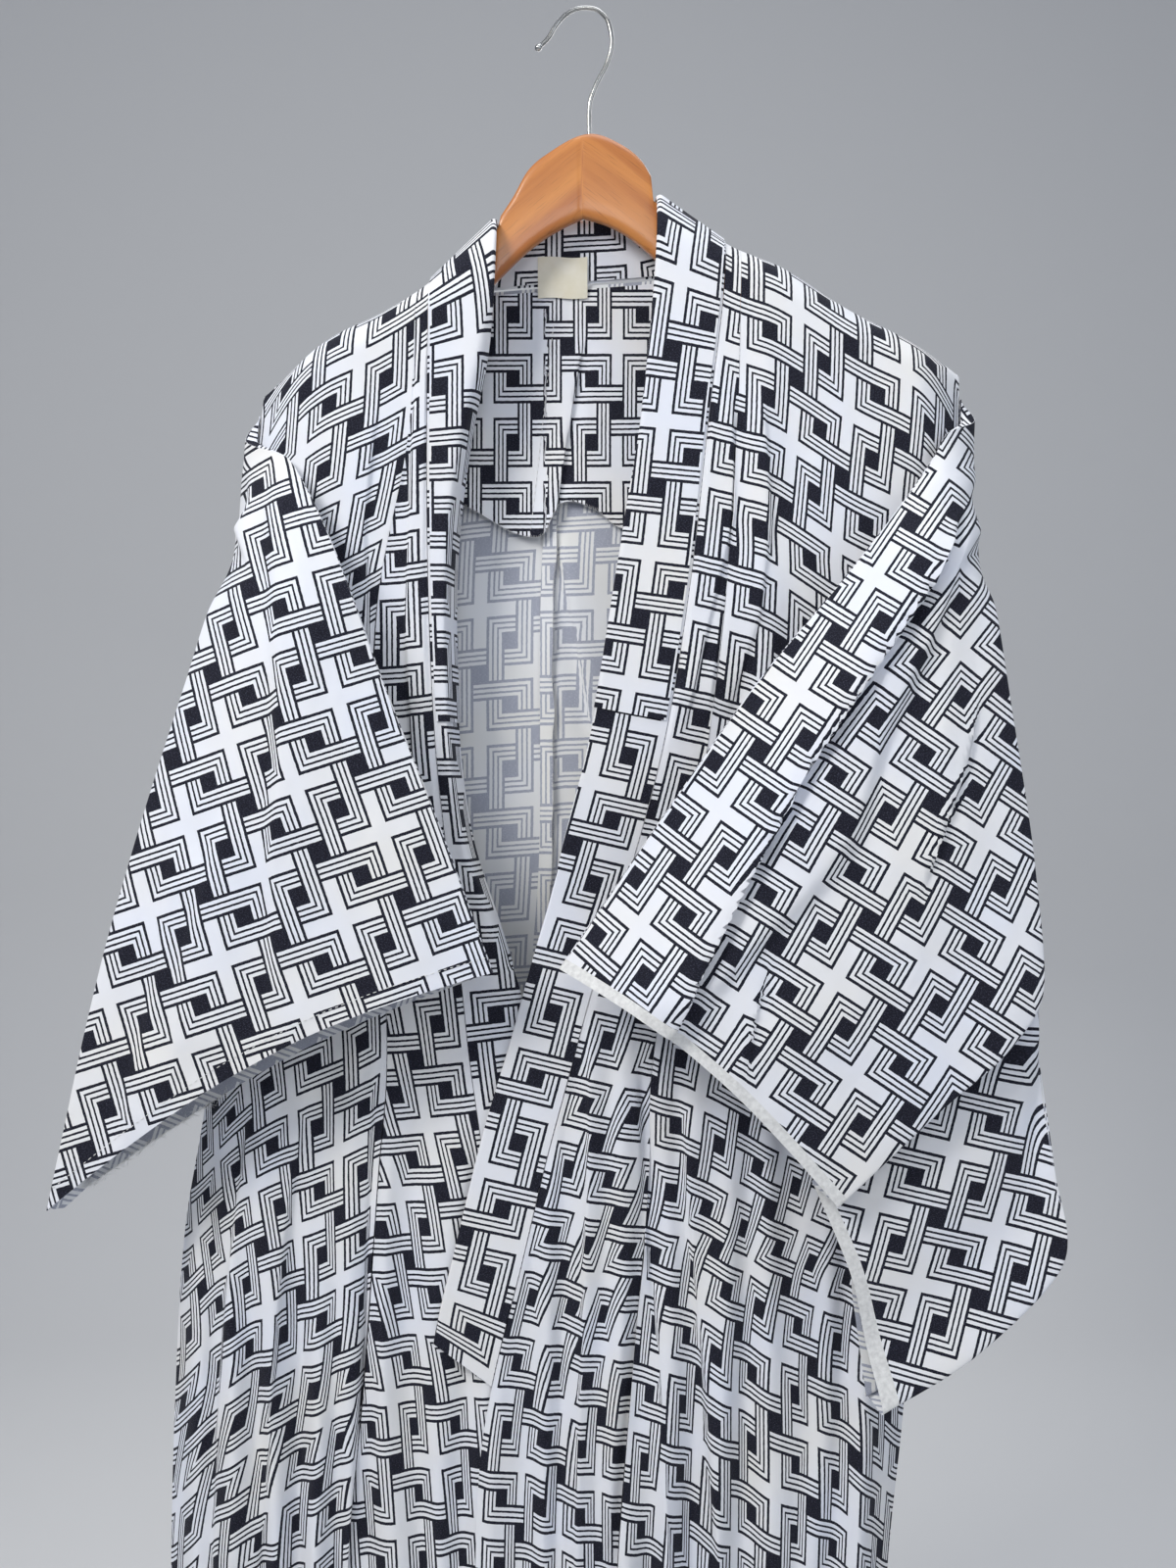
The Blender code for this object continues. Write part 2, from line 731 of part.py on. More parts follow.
def sleeve_ring(side, t):
    """One ring of a sleeve: from the top fold across the visible face to its edge, round behind to
    the bottom seam, and back to the top fold along the layer next to the body."""
    tables = (
        (RIGHT_FOLD, RIGHT_EDGE, RIGHT_CORNER, RIGHT_UNDER)
        if side == RIGHT
        else (LEFT_FOLD, LEFT_EDGE, LEFT_CORNER, LEFT_UNDER)
    )
    fold, edge, corner, under = (sleeve_point(table, t) for table in tables)
    full = ramp(t / 0.45)
    tuck = ramp((t - 0.52) / 0.12) if side == LEFT else 0.0
    roll = math.pi * ramp(t / 0.12)
    nose = Vector((0, math.cos(roll), math.sin(roll))) * SLEEVE_NOSE
    pleat = mix(0.75, 0.38, ramp((t - 0.1) / 0.4))
    face = [fold + nose]
    for share in sorted((0.12, 0.25, pleat, pleat + 0.05, 0.62, 0.82)):
        point = fold.lerp(edge, share)
        point.y -= 0.022 * math.sin(math.pi * share**0.8) * full
        if side == LEFT:
            lap = 1 - ramp((share - pleat) / 0.05)
            point.y -= 0.008 * lap * math.sin(math.pi / 2 * min(share * 3, 1)) * full
        arch = 0.030 if side == RIGHT else 0.022
        point.z += arch * math.sin(math.pi * share) * ramp((t - 0.6) / 0.4)
        face.append(point)
    face.append(edge + Vector((0, -SLEEVE_NOSE, 0)))
    inward = (fold - edge).normalized() * 0.022 * tuck
    hidden = [edge + Vector((0, SLEEVE_NOSE, 0))]
    hidden.append(edge + Vector((0, 0.006 + 0.003 * tuck, 0)) + inward)
    hidden.append(edge + Vector((0, 0.009 + 0.007 * tuck, 0)) + inward)
    for share in (0.35, 0.7):
        point = edge.lerp(corner, share)
        point.y += 0.014 * mix(1 - t, 1.0, tuck)
        hidden.append(point)
    hidden.append(corner)
    hidden.append(corner.lerp(under, 0.55) + Vector((0, 0.004, 0)))
    hidden.append(under + Vector((0, SLEEVE_NOSE, 0)))
    inner = [under + Vector((0, -SLEEVE_NOSE, 0))]
    for share in (0.17, 0.36, 0.55, 0.74, 0.9):
        point = under.lerp(fold, share)
        point.y -= ARMHOLE_GAPE * (1 - ramp(t / 0.3)) * math.sin(math.pi * share)
        point.z -= 0.010 * math.sin(math.pi * share) * ramp((t - 0.7) / 0.3)
        inner.append(point)
    inner.append(fold - nose)
    evenly = 1 - ramp((t - 0.04) / 0.26)
    ring = slid(face + hidden, evenly) + slid(inner, evenly)
    cleared = []
    for i, point in enumerate(ring):
        if i < SLEEVE_FACE:
            point = clear_of_body(side, point, (SLEEVE_CLEAR + 2 * SLEEVE_NOSE) * ramp(t / 0.08))
        elif i >= SLEEVE_FACE + SLEEVE_HIDDEN:
            point = clear_of_body(side, point, SLEEVE_CLEAR * ramp(t / 0.08))
        cleared.append(point)
    return cleared


def armhole_rings(side, ring, beyond):
    """The first ring, along the body's two edges and half a millimetre clear of them, and the
    second, which carries the cloth round outside the body's edge to the ring beyond."""
    top, bottom = ring[0].z, min(point.z for point in ring)
    behind = SLEEVE_FACE + SLEEVE_HIDDEN
    first, second = [], []
    for i in range(len(ring)):
        share = i / (behind - 1) if i < behind else 1 - (i - behind) / (SLEEVE_INNER - 1)
        z = mix(top, bottom, share)
        gape = max(armhole_gape(side, z), SLEEVE_NOSE)
        x = edge_x(SIDE_SEAM, side, z)
        y = gape if i < behind else -gape
        turning = i in (0, behind - 1, behind, len(ring) - 1)
        first.append(Vector((x + side * (0.0020 if turning else 0.0008), y, z)))
        out = first[-1].lerp(beyond[i], 0.5)
        if i < behind:
            round_edge = 0.010 * (1 - ramp((i - 5) / 8))
            out.x = side * max(side * out.x, side * x + 0.003 + round_edge)
            out.y = mix(y, beyond[i].y, mix(0.2, 0.5, ramp((i - 5) / 5)))
        else:
            out.x = x + side * 0.0030
            out.y = y - 0.004
        second.append(out)
    return first, second


def sleeves():
    spacing = (0.0, 0.05, 0.11, 0.18, 0.27, 0.37, 0.48, 0.58, 0.68, 0.79, 0.9, 1.0)
    for side in (RIGHT, LEFT):
        rings = [sleeve_ring(side, t) for t in spacing]
        rings[:2] = armhole_rings(side, rings[0], rings[2])
        bag(f"sleeve_{side_name(side)}", rings, CLOTH)


def yoke():
    """Shoulder lining inside the back, hemmed to the neck and loose at its lower edge."""
    outside, inside = [], []
    for r in range(6):
        share = r / 5
        outer_row, inner_row = [], []
        for c in range(17):
            x = mix(mix(-0.088, -0.125, share), 0.082, c / 16)
            top = neck_z(x) - mix(0.003, 0.010, ramp((abs(x) - 0.10) / 0.03))
            z = mix(top, read(YOKE_HEM, "z", x), share)
            side = RIGHT if x < back_seam_x(z) else LEFT
            depth = partial(back_y, side)
            normal = surface_normal(depth, x, z, 1)
            hang = Vector((0, -0.006 * share**3, 0))
            face = Vector((x, back_y(side, x, z), z)) + hang
            outer_row.append(face - normal * (CLOTH + 2 * SEAM))
            inner_row.append(face - normal * (CLOTH + 2 * SEAM + COVER_WALL))
        outside.append(outer_row)
        inside.append(inner_row)
    sheet("yoke", outside, inside)


def label():
    """Blank cotton tag at the back neck."""
    top_z, bottom_z, left_x, right_x = -0.200, -0.233, -0.0425, -0.0005
    outside, inside = [], []
    for z, y in ((top_z, 0.0197), (bottom_z, 0.0266)):
        outside.append([Vector((x, y, z)) for x in (left_x, right_x)])
        inside.append([Vector((x, y - LABEL_WALL, z)) for x in (left_x, right_x)])
    sheet("label", outside, inside, BARE)


def wood_top(x):
    """Upper edge of the wood: bare in the neck, just under the collar and the cloth outside it."""
    bare_left, bare_right = WOOD_TOP[0].x * CM, WOOD_TOP[-1].x * CM
    if bare_left <= x <= bare_right:
        return read(WOOD_TOP, "z", x)
    for start, end in UNDER_COLLAR:
        share = (x / CM - start.x) / (end.x - start.x)
        if 0 <= share <= 1:
            return mix(start.z, end.z, share) * CM
    return ridge_z(x) - CLOTH - WOOD_GAP


def hanger():
    places = (-22.4, -22.0, -20.5, -18.5, -16.5, -14.8, -14.1, -13.5, -12, -10, -8.6, -7.5, -7.25, -6.2)
    places += (-5.1, -3.3, -1.6, -0.4, 0.9, 2.6, 4.5, 5.25, 5.45, 7.2, 8.8, 10.6, 12.1, 12.9, 14.6)
    places += (16.5, 18.5, 20.4, 21.6, 22.0)
    rings = []
    for place in places:
        x = place * CM
        top, bottom = wood_top(x), read(WOOD_BOTTOM, "z", x)
        blunt = 0.5 if place in (places[0], places[-1]) else 1.0
        middle = (top + bottom) / 2
        ring = []
        for y, z in (
            (-0.35, top - 0.0008),
            (-0.75, top - 0.0035),
            (-1.0, top - 0.010),
            (-1.0, bottom + 0.006),
            (-0.6, bottom),
            (0.6, bottom),
            (1.0, bottom + 0.006),
            (1.0, top - 0.010),
            (0.75, top - 0.0035),
            (0.35, top - 0.0008),
        ):
            ring.append(Vector((x, y * WOOD_HALF * blunt, mix(middle, z, mix(0.7, 1, blunt * 2 - 1)))))
        rings.append(ring)
    bar("hanger_wood", rings, WOOD, 0.35, 0.0)


def hook():
    """Bent wire with a rounded tip."""
    stops = [Vector((p.x * CM, 0, p.z * CM)) for p in HOOK_PATH]
    path, width = [], []
    for i in range(len(stops) - 1):
        before, after = stops[max(i - 1, 0)], stops[min(i + 2, len(stops) - 1)]
        for j in range(3):
            t = j / 3
            a, b = stops[i], stops[i + 1]
            start, end = (b - before) / 2, (after - a) / 2
            path.append(
                a * (1 + 2 * t) * (1 - t) ** 2
                + b * t * t * (3 - 2 * t)
                + start * t * (1 - t) ** 2
                - end * t * t * (1 - t)
            )
            width.append(WIRE)
    last, run = stops[-1], (stops[-1] - stops[-2]).normalized()
    for ahead, size in ((0.0, 0.0026), (0.0015, TIP_BALL), (0.0035, 0.0026), (0.0046, 0.0013)):
        path.append(last + run * ahead)
        width.append(size)
    rings = []
    for i, (centre, size) in enumerate(zip(path, width)):
        run = (path[min(i + 1, len(path) - 1)] - path[max(i - 1, 0)]).normalized()
        across = Vector((0, 1, 0))
        up = across.cross(run).normalized()
        turn = [2 * math.pi * k / 8 for k in range(8)]
        rings.append([centre + across * size * math.cos(a) + up * size * math.sin(a) for a in turn])
    bar("hook", rings, STEEL, 0.25, 1.0)


def main():
    for old in list(bpy.data.objects):
        bpy.data.objects.remove(old)
    fronts()
    backs()
    collar()
    collar_cover()
    sleeves()
    yoke()
    label()
    hanger()
    hook()


main()
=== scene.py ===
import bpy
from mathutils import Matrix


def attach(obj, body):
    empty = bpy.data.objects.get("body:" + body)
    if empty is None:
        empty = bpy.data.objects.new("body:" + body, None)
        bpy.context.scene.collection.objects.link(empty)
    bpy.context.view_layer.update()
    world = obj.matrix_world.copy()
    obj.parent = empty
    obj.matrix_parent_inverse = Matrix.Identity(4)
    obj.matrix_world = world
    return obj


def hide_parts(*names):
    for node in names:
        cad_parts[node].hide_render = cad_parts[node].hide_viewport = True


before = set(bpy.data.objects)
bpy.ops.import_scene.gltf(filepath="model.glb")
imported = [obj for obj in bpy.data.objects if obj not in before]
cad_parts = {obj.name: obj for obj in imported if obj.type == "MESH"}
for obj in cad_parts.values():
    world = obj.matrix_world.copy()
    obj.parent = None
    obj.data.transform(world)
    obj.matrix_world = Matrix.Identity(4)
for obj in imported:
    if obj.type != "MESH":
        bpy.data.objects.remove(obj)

"""Looks of a cotton yukata, an unlined kimono, on a wooden hanger.

Metres, +Z up, front towards -Y, the wearer's left at +X. Tables are in centimetres.
"""

import logging
import math
from bisect import bisect_right
from dataclasses import dataclass, field
from enum import Enum
from typing import Callable, NamedTuple, Sequence

import bpy
import numpy as np
from mathutils import Vector, noise

LOG = logging.getLogger("yukata")
CM = 0.01
ARRAY = np.ndarray

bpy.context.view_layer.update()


class Side(Enum):
    """The wearer's sides, with the sign of their X."""

    RIGHT = -1
    LEFT = 1

    @property
    def label(self) -> str:
        """Name of the side in node and column names."""
        return "right" if self is Side.RIGHT else "left"


class Across(NamedTuple):
    """A point of a line seen from the front."""

    x: float
    z: float


class Sides(NamedTuple):
    """A vertical line's places on the wearer's right and left at one drop."""

    down: float
    right: float
    left: float


class Band(NamedTuple):
    """How far the collar shows from its seam at one drop, on either side."""

    down: float
    right_reach: float
    right_rise: float
    left_reach: float
    left_rise: float


class BackBand(NamedTuple):
    """The collar's stand behind the neck."""

    x: float
    reach: float
    rise: float
    lean: float


class Fold(NamedTuple):
    """A soft vertical fold of the body."""

    side: Side
    x_top: float
    x_hem: float
    starts: float
    full: float
    width: float
    depth: float


class Line(NamedTuple):
    """A line of a sleeve, from the armhole (0) to the cuff (1)."""

    along: float
    x: float
    y: float
    z: float


class Lap(NamedTuple):
    """A fold that laps over the cloth beside it, along a line seen from the front.

    The cloth on top lies at -1, the line's lower X, or at 1. take is the cloth hidden in it,
    and over is how far the top cloth hangs past the line.
    """

    on_top: int
    depth: float
    take: float
    width: float
    over: float
    line: list[tuple[float, float]]


def table(kind: type, *rows: tuple) -> list:
    """A table's rows, each with the kind's named columns."""
    return [kind(*row) for row in rows]


RIDGE = table(
    Across,
    (-32.0, -36.0), (-26.9, -32.2), (-21.7, -27.7), (-16.8, -25.2), (-13.2, -22.9), (-8.0, -18.0),
    (0.0, -13.3), (6.5, -15.8), (11.4, -19.6), (16.0, -21.6), (21.7, -25.2), (26.6, -27.7),
    (31.0, -30.6), (35.0, -34.0),
)
NECK = table(
    Across,
    (-13.2, -22.9), (-10.5, -23.0), (-7.9, -22.7), (5.6, -21.7), (9.0, -21.3), (11.4, -19.6),
)
SIDE_SEAM = table(
    Sides,
    (30.0, -26.9, 31.0), (71.0, -30.0, 29.5), (91.6, -32.0, 28.2), (101.5, -33.6, 27.3),
    (117.0, -34.5, 26.3), (130.0, -34.8, 25.0), (158.0, -35.0, 24.5),
)
COLLAR_SEAM = table(
    Sides,
    (19.0, -13.1, 11.4), (24.5, -13.1, 11.1), (33.7, -13.2, 10.0), (48.0, -13.1, 8.4),
    (61.4, -12.5, 6.2), (72.6, -11.3, 3.2), (81.6, -10.3, 0.3), (87.2, -9.7, -1.2),
    (95.0, -8.6, -3.3), (103.4, -7.5, -5.3), (113.6, -6.2, -7.8), (119.0, -5.8, -8.7),
    (130.0, -5.2, -9.2), (158.0, -5.0, -9.6),
)
OVERLAP_SEAM = table(
    Sides,
    (19.0, -14.0, 12.6), (24.0, -14.1, 12.5), (36.0, -14.7, 12.2), (50.0, -17.2, 11.2),
    (72.0, -17.0, 8.2), (88.0, -16.4, 5.2), (96.0, -17.0, 5.0), (113.0, -18.2, 3.6),
    (128.0, -19.6, 2.4), (158.0, -20.2, 2.0),
)
BACK_SEAM = table(
    Across,
    (21.5, -1.2), (43.5, -3.8), (71.6, -4.2), (81.0, -4.8), (158.0, -5.2),
)
COLLAR_BAND = table(
    Band,
    (19.6, 5.2, 5.0, 5.3, 3.8), (22.9, 5.2, 5.0, 5.3, 2.4), (25.5, 5.2, 3.0, 5.3, 1.7),
    (30.0, 4.7, 1.0, 5.2, 0.9), (36.0, 3.3, 0.3, 5.2, 0.5), (43.0, 2.2, 0.0, 5.6, 0.6),
    (50.0, 1.7, 0.0, 5.8, 0.8), (57.0, 1.6, 0.0, 5.8, 1.0), (64.0, 1.6, 0.0, 5.7, 1.2),
    (70.0, 2.0, 0.0, 5.6, 1.3), (76.0, 3.4, 0.0, 5.2, 1.3), (84.0, 4.8, 0.6, 5.0, 1.2),
    (94.0, 5.4, 0.8, 5.2, 1.3), (106.0, 5.4, 0.8, 5.2, 1.4), (113.6, 5.0, 2.6, 4.6, 3.4),
)
BACK_BAND = table(
    BackBand,
    (-13.2, 5.2, 5.0, 0.0), (-12.0, 4.2, 5.0, 0.9), (-10.5, 2.8, 5.0, 1.0), (-8.5, 1.2, 4.8, 1.1),
    (-5.0, 0.2, 4.7, 1.2), (-1.2, 0.0, 4.7, 1.3), (3.0, -0.2, 4.7, 1.2), (7.0, -1.4, 4.8, 1.1),
    (9.2, -3.2, 4.7, 1.2), (10.6, -4.5, 4.3, 1.2), (11.4, -5.3, 3.8, 0.0),
)
FRONT_FOLDS = table(
    Fold,
    (Side.RIGHT, -25.5, -31.0, 60.0, 120.0, 1.5, 0.9),
    (Side.RIGHT, -22.5, -27.0, 50.0, 125.0, 1.4, 1.1),
    (Side.RIGHT, -20.0, -22.8, 70.0, 130.0, 1.2, 1.2),
    (Side.RIGHT, -20.0, -15.6, 30.0, 60.0, 1.6, 0.5), (Side.LEFT, 8.0, 0.0, 90.0, 125.0, 1.2, 0.7),
    (Side.LEFT, 9.0, 5.4, 75.0, 120.0, 1.2, 1.2), (Side.LEFT, 13.5, 9.0, 60.0, 120.0, 1.3, 1.1),
    (Side.LEFT, 19.0, 14.6, 80.0, 130.0, 1.6, 0.9), (Side.LEFT, 24.0, 20.2, 90.0, 135.0, 1.6, 0.7),
    (Side.LEFT, 14.6, 14.0, 21.0, 40.0, 1.4, 0.6),
)
BACK_FOLDS = table(
    Fold,
    (Side.RIGHT, -22.0, -29.0, 50.0, 130.0, 1.8, 0.9),
    (Side.RIGHT, -17.0, -21.0, 40.0, 120.0, 1.7, 0.8),
    (Side.RIGHT, -11.0, -13.0, 60.0, 140.0, 1.8, 0.7), (Side.LEFT, 4.0, 2.0, 50.0, 130.0, 1.8, 0.7),
    (Side.LEFT, 12.0, 10.0, 40.0, 120.0, 1.7, 0.9), (Side.LEFT, 20.0, 17.5, 55.0, 135.0, 1.8, 0.9),
)
RIGHT_FOLD = table(
    Line,
    (0.0, -27.2, 0.0, -34.0), (0.22, -21.7, -5.8, -42.6), (0.55, -15.5, -7.6, -58.4),
    (0.72, -12.4, -8.0, -66.1), (1.0, -7.5, -8.4, -79.4),
)
RIGHT_EDGE = table(
    Line,
    (0.0, -27.4, 0.2, -35.0), (0.12, -27.9, -2.8, -39.6), (0.22, -29.4, -4.6, -46.7),
    (0.55, -35.8, -7.2, -69.2), (0.72, -38.6, -7.9, -80.0), (1.0, -42.4, -8.4, -98.0),
)
RIGHT_CORNER = table(
    Line,
    (0.0, -28.9, 1.1, -52.0), (0.22, -31.2, -0.6, -62.0), (0.55, -35.8, -4.4, -78.0),
    (0.72, -38.4, -5.8, -86.0), (1.0, -41.6, -6.9, -98.2),
)
RIGHT_UNDER = table(
    Line,
    (0.0, -30.0, 0.0, -70.4), (0.22, -32.0, -1.6, -75.8), (0.55, -34.8, -4.4, -84.2),
    (0.72, -36.6, -5.2, -89.0), (1.0, -39.8, -6.2, -96.6),
)
LEFT_FOLD = table(
    Line,
    (0.0, 31.2, 0.0, -32.6), (0.17, 27.9, -4.6, -38.3), (0.32, 22.4, -6.4, -45.8),
    (0.5, 13.8, -7.6, -56.1), (0.7, 7.3, -8.2, -65.2), (1.0, -2.2, -8.6, -79.1),
)
LEFT_EDGE = table(
    Line,
    (0.0, 31.4, 0.2, -33.6), (0.17, 31.7, -4.6, -43.4), (0.32, 32.9, -6.6, -54.0),
    (0.5, 35.2, -8.4, -73.0), (0.6, 35.0, -9.8, -82.6), (0.7, 31.4, -10.6, -86.0),
    (0.8, 27.3, -11.0, -89.5), (1.0, 19.2, -11.0, -97.1),
)
LEFT_CORNER = table(
    Line,
    (0.0, 30.9, 1.1, -51.0), (0.17, 32.2, 0.2, -62.0), (0.32, 33.6, -2.2, -72.0),
    (0.5, 35.4, -5.6, -84.0), (0.6, 36.2, -7.2, -90.4), (0.7, 36.9, -8.0, -96.6),
    (0.8, 37.2, -8.4, -102.6), (0.9, 30.5, -8.6, -109.4), (1.0, 23.1, -8.7, -114.0),
)
LEFT_UNDER = table(
    Line,
    (0.0, 29.9, 0.0, -69.4), (0.17, 31.2, -1.8, -76.0), (0.32, 32.2, -3.4, -82.0),
    (0.5, 33.4, -5.2, -90.6), (0.7, 34.4, -6.4, -99.0), (0.8, 34.6, -6.8, -103.6),
    (0.9, 29.0, -7.0, -108.8), (1.0, 22.0, -7.0, -113.0),
)
WOOD_BOTTOM = table(
    Across,
    (-22.4, -30.2), (-16.0, -28.4), (-7.9, -23.0), (-0.4, -17.4), (6.0, -21.2), (14.0, -25.4),
    (22.0, -28.2),
)
WOOD_TOP = table(
    Across,
    (-7.3, -17.3), (-6.2, -15.6), (-5.1, -13.6), (-3.3, -12.0), (0.1, -10.4), (2.6, -11.2),
    (4.5, -12.7), (5.3, -14.0),
)
UNDER_COLLAR = [
    [Across(-13.7, -24.1), Across(-7.4, -18.1)],
    [Across(5.4, -15.95), Across(12.5, -21.05)],
]
HOOK_PATH = table(
    Across,
    (0.1, -10.52), (0.15, -7.8), (0.7, -6.2), (1.6, -4.4), (2.0, -2.6), (1.6, -0.8), (0.8, 0.0),
    (0.0, 0.19), (-1.0, 0.1), (-1.9, -0.4), (-2.7, -1.3), (-3.3, -2.3), (-4.0, -3.0),
)
YOKE_HEM = table(
    Across,
    (-14.0, -40.5), (-10.8, -40.9), (-5.2, -43.6), (-3.6, -43.2), (-2.8, -41.3), (0.4, -41.2),
    (2.6, -42.8), (8.0, -42.2), (12.0, -41.0),
)

YOKE_LAPS = [
    Lap(-1, 0.35, 1.2, 0.5, 0.25, [(-0.1, -25.5), (-1.4, -33.0), (-2.6, -41.0), (-2.8, -46.0)]),
]
BACK_LAPS = [
    Lap(
        1, -0.5, 0.0, 0.6, 0.3,
        [(-3.2, -41.0), (-1.2, -51.2), (0.6, -61.3), (1.7, -71.3), (2.0, -84.0)],
    ),
]
RIGHT_LAPS = [
    Lap(
        1, 0.54, 1.17, 1.3, 0.0,
        [
            (-25.9, -35.0), (-25.4, -45.3), (-24.6, -54.6), (-24.4, -62.7), (-24.9, -70.8),
            (-24.5, -79.4), (-23.8, -87.2),
        ],
    ),
    Lap(
        1, 0.48, 0.9, 1.3, 0.0,
        [(-32.3, -67.7), (-33.2, -73.2), (-33.9, -79.7), (-35.9, -89.4), (-37.0, -95.0)],
    ),
    Lap(
        1, 0.48, 0.9, 1.3, 0.0,
        [(-28.2, -64.6), (-29.0, -68.3), (-31.3, -77.1), (-32.3, -84.8), (-32.6, -88.7)],
    ),
]
LEFT_LAPS = [
    Lap(
        -1, 1.15, 2.6, 0.5, 0.6,
        [
            (30.4, -41.9), (27.3, -48.4), (22.3, -55.4), (16.9, -63.4), (12.2, -71.9), (8.5, -79.2),
            (5.8, -85.8),
        ],
    ),
    Lap(
        -1, 0.25, 0.8, 0.6, 0.42,
        [(31.2, -56.9), (29.3, -63.8), (27.3, -69.2), (25.0, -74.6)],
    ),
    Lap(
        -1, 0.2, 0.5, 0.6, 0.42,
        [(14.2, -76.9), (12.7, -83.1), (11.9, -88.5)],
    ),
]
FRONT_LAPS = [
    Lap(
        -1, 0.3, 1.26, 0.68, 0.14,
        [(-17.1, -32.6), (-18.2, -43.8), (-17.7, -56.6), (-16.1, -72.6)],
    ),
    Lap(
        1, 0.25, 0.9, 0.68, 0.14,
        [(-14.0, -27.0), (-14.5, -38.2), (-15.0, -51.8), (-14.0, -69.4)],
    ),
    Lap(
        -1, 0.3, 1.08, 0.68, 0.14,
        [(11.8, -31.0), (12.0, -42.7), (10.0, -51.1), (7.6, -61.6)],
    ),
    Lap(
        -1, 0.3, 1.08, 0.68, 0.14,
        [(14.3, -31.0), (14.9, -43.5), (14.0, -51.1), (10.9, -60.8)],
    ),
    Lap(
        1, 0.45, 1.44, 0.77, 0.16,
        [(-27.5, -90.2), (-28.8, -100.6), (-30.2, -114.3), (-30.7, -131.9)],
    ),
    Lap(
        -1, 0.4, 1.44, 0.77, 0.16,
        [(-22.7, -88.6), (-24.4, -100.6), (-25.5, -114.3), (-27.0, -131.9)],
    ),
    Lap(
        -1, 0.45, 1.62, 0.77, 0.16,
        [(-17.1, -85.4), (-17.8, -96.6), (-18.5, -112.7), (-19.6, -131.9)],
    ),
    Lap(
        1, 0.4, 1.44, 0.77, 0.16,
        [(0.1, -83.8), (-0.1, -96.6), (-0.7, -112.7), (-1.2, -131.9)],
    ),
    Lap(
        -1, 0.4, 1.44, 0.77, 0.16,
        [(4.0, -87.0), (4.7, -100.6), (6.0, -114.3), (6.8, -131.9)],
    ),
    Lap(
        1, 0.45, 1.62, 0.77, 0.16,
        [(7.6, -88.6), (8.2, -100.6), (9.4, -114.3), (10.7, -131.9)],
    ),
]


def read(table: Sequence, column: str, at: float) -> float:
    """Reads a column on a smooth curve through the table's rows.

    Args:
        table: rows that rise by their first column.
        column: the column to read.
        at: where to read, in metres, or a share where the rows run along a sleeve.

    Returns:
        The value in metres.
    """
    scale = 1.0 if table[0]._fields[0] == "along" else CM
    keys = [row[0] * scale for row in table]
    values = [getattr(row, column) * CM for row in table]
    if at <= keys[0]:
        return values[0]
    if at >= keys[-1]:
        return values[-1]
    i = bisect_right(keys, at) - 1
    slope = (values[i + 1] - values[i]) / (keys[i + 1] - keys[i])
    before = (values[i] - values[i - 1]) / (keys[i] - keys[i - 1]) if i else slope
    last = i + 2 >= len(keys)
    after = slope if last else (values[i + 2] - values[i + 1]) / (keys[i + 2] - keys[i + 1])
    run = keys[i + 1] - keys[i]
    t = (at - keys[i]) / run
    start, end = (before + slope) / 2, (slope + after) / 2
    curve = values[i] * (1 + 2 * t) * (1 - t) ** 2 + values[i + 1] * t * t * (3 - 2 * t)
    return curve + run * t * (1 - t) * (start * (1 - t) - end * t)


def ramp(share: float) -> float:
    """A soft step from 0 to 1."""
    share = min(max(share, 0.0), 1.0)
    return share * share * (3 - 2 * share)


def bulge(share: float) -> float:
    """A quarter ellipse, upright at 0 and level at 1."""
    return math.sqrt(max(0.0, 1 - (1 - min(max(share, 0.0), 1.0)) ** 2))


def mix(start: float, end: float, share: float) -> float:
    """The value a share of the way from start to end."""
    return start + (end - start) * share


def smooth_through(points: ARRAY, stops: Sequence[float], places: Sequence[float]) -> ARRAY:
    """Resamples rows of points on a smooth curve that doesn't overshoot.

    Args:
        points: control points, rows first.
        stops: the rows' places.
        places: the places to read.

    Returns:
        One row of points for each place.
    """
    stops = np.asarray(stops, float)
    spans = np.diff(points, axis=0)
    lengths = np.linalg.norm(spans, axis=-1, keepdims=True) + 1e-9
    heading = spans / lengths
    tangents = np.empty_like(points)
    tangents[0], tangents[-1] = spans[0], spans[-1]
    mean = heading[:-1] + heading[1:]
    mean /= np.linalg.norm(mean, axis=-1, keepdims=True) + 1e-9
    tangents[1:-1] = mean * np.minimum(lengths[:-1], lengths[1:])
    rows = []
    for place in places:
        i = int(np.clip(np.searchsorted(stops, place, side="right") - 1, 0, len(stops) - 2))
        t = (place - stops[i]) / (stops[i + 1] - stops[i])
        rows.append(
            points[i] * (1 + 2 * t) * (1 - t) ** 2
            + points[i + 1] * t * t * (3 - 2 * t)
            + tangents[i] * t * (1 - t) ** 2
            - tangents[i + 1] * t * t * (1 - t)
        )
    return np.array(rows)


def grid_normals(grid: ARRAY, closed: bool = False) -> ARRAY:
    """Unit normals of a grid of points, columns crossed with rows.

    Args:
        grid: points, rows by columns.
        closed: whether the columns meet round the end.

    Returns:
        A normal for each point.
    """
    down = np.gradient(grid, axis=0)
    if closed:
        along = np.roll(grid, -1, axis=1) - np.roll(grid, 1, axis=1)
    else:
        along = np.gradient(grid, axis=1)
    normal = np.cross(along, down)
    return normal / (np.linalg.norm(normal, axis=-1, keepdims=True) + 1e-12)


def arc_length(grid: ARRAY, axis: int) -> ARRAY:
    """Distance along the cloth from the grid's first row or column.

    Args:
        grid: points, rows by columns.
        axis: 0 to measure down the rows, 1 along them.

    Returns:
        The distance at each point, in metres.
    """
    steps = np.linalg.norm(np.diff(grid, axis=axis), axis=-1)
    start = np.zeros_like(np.take(steps, [0], axis=axis))
    return np.concatenate([start, np.cumsum(steps, axis=axis)], axis=axis)


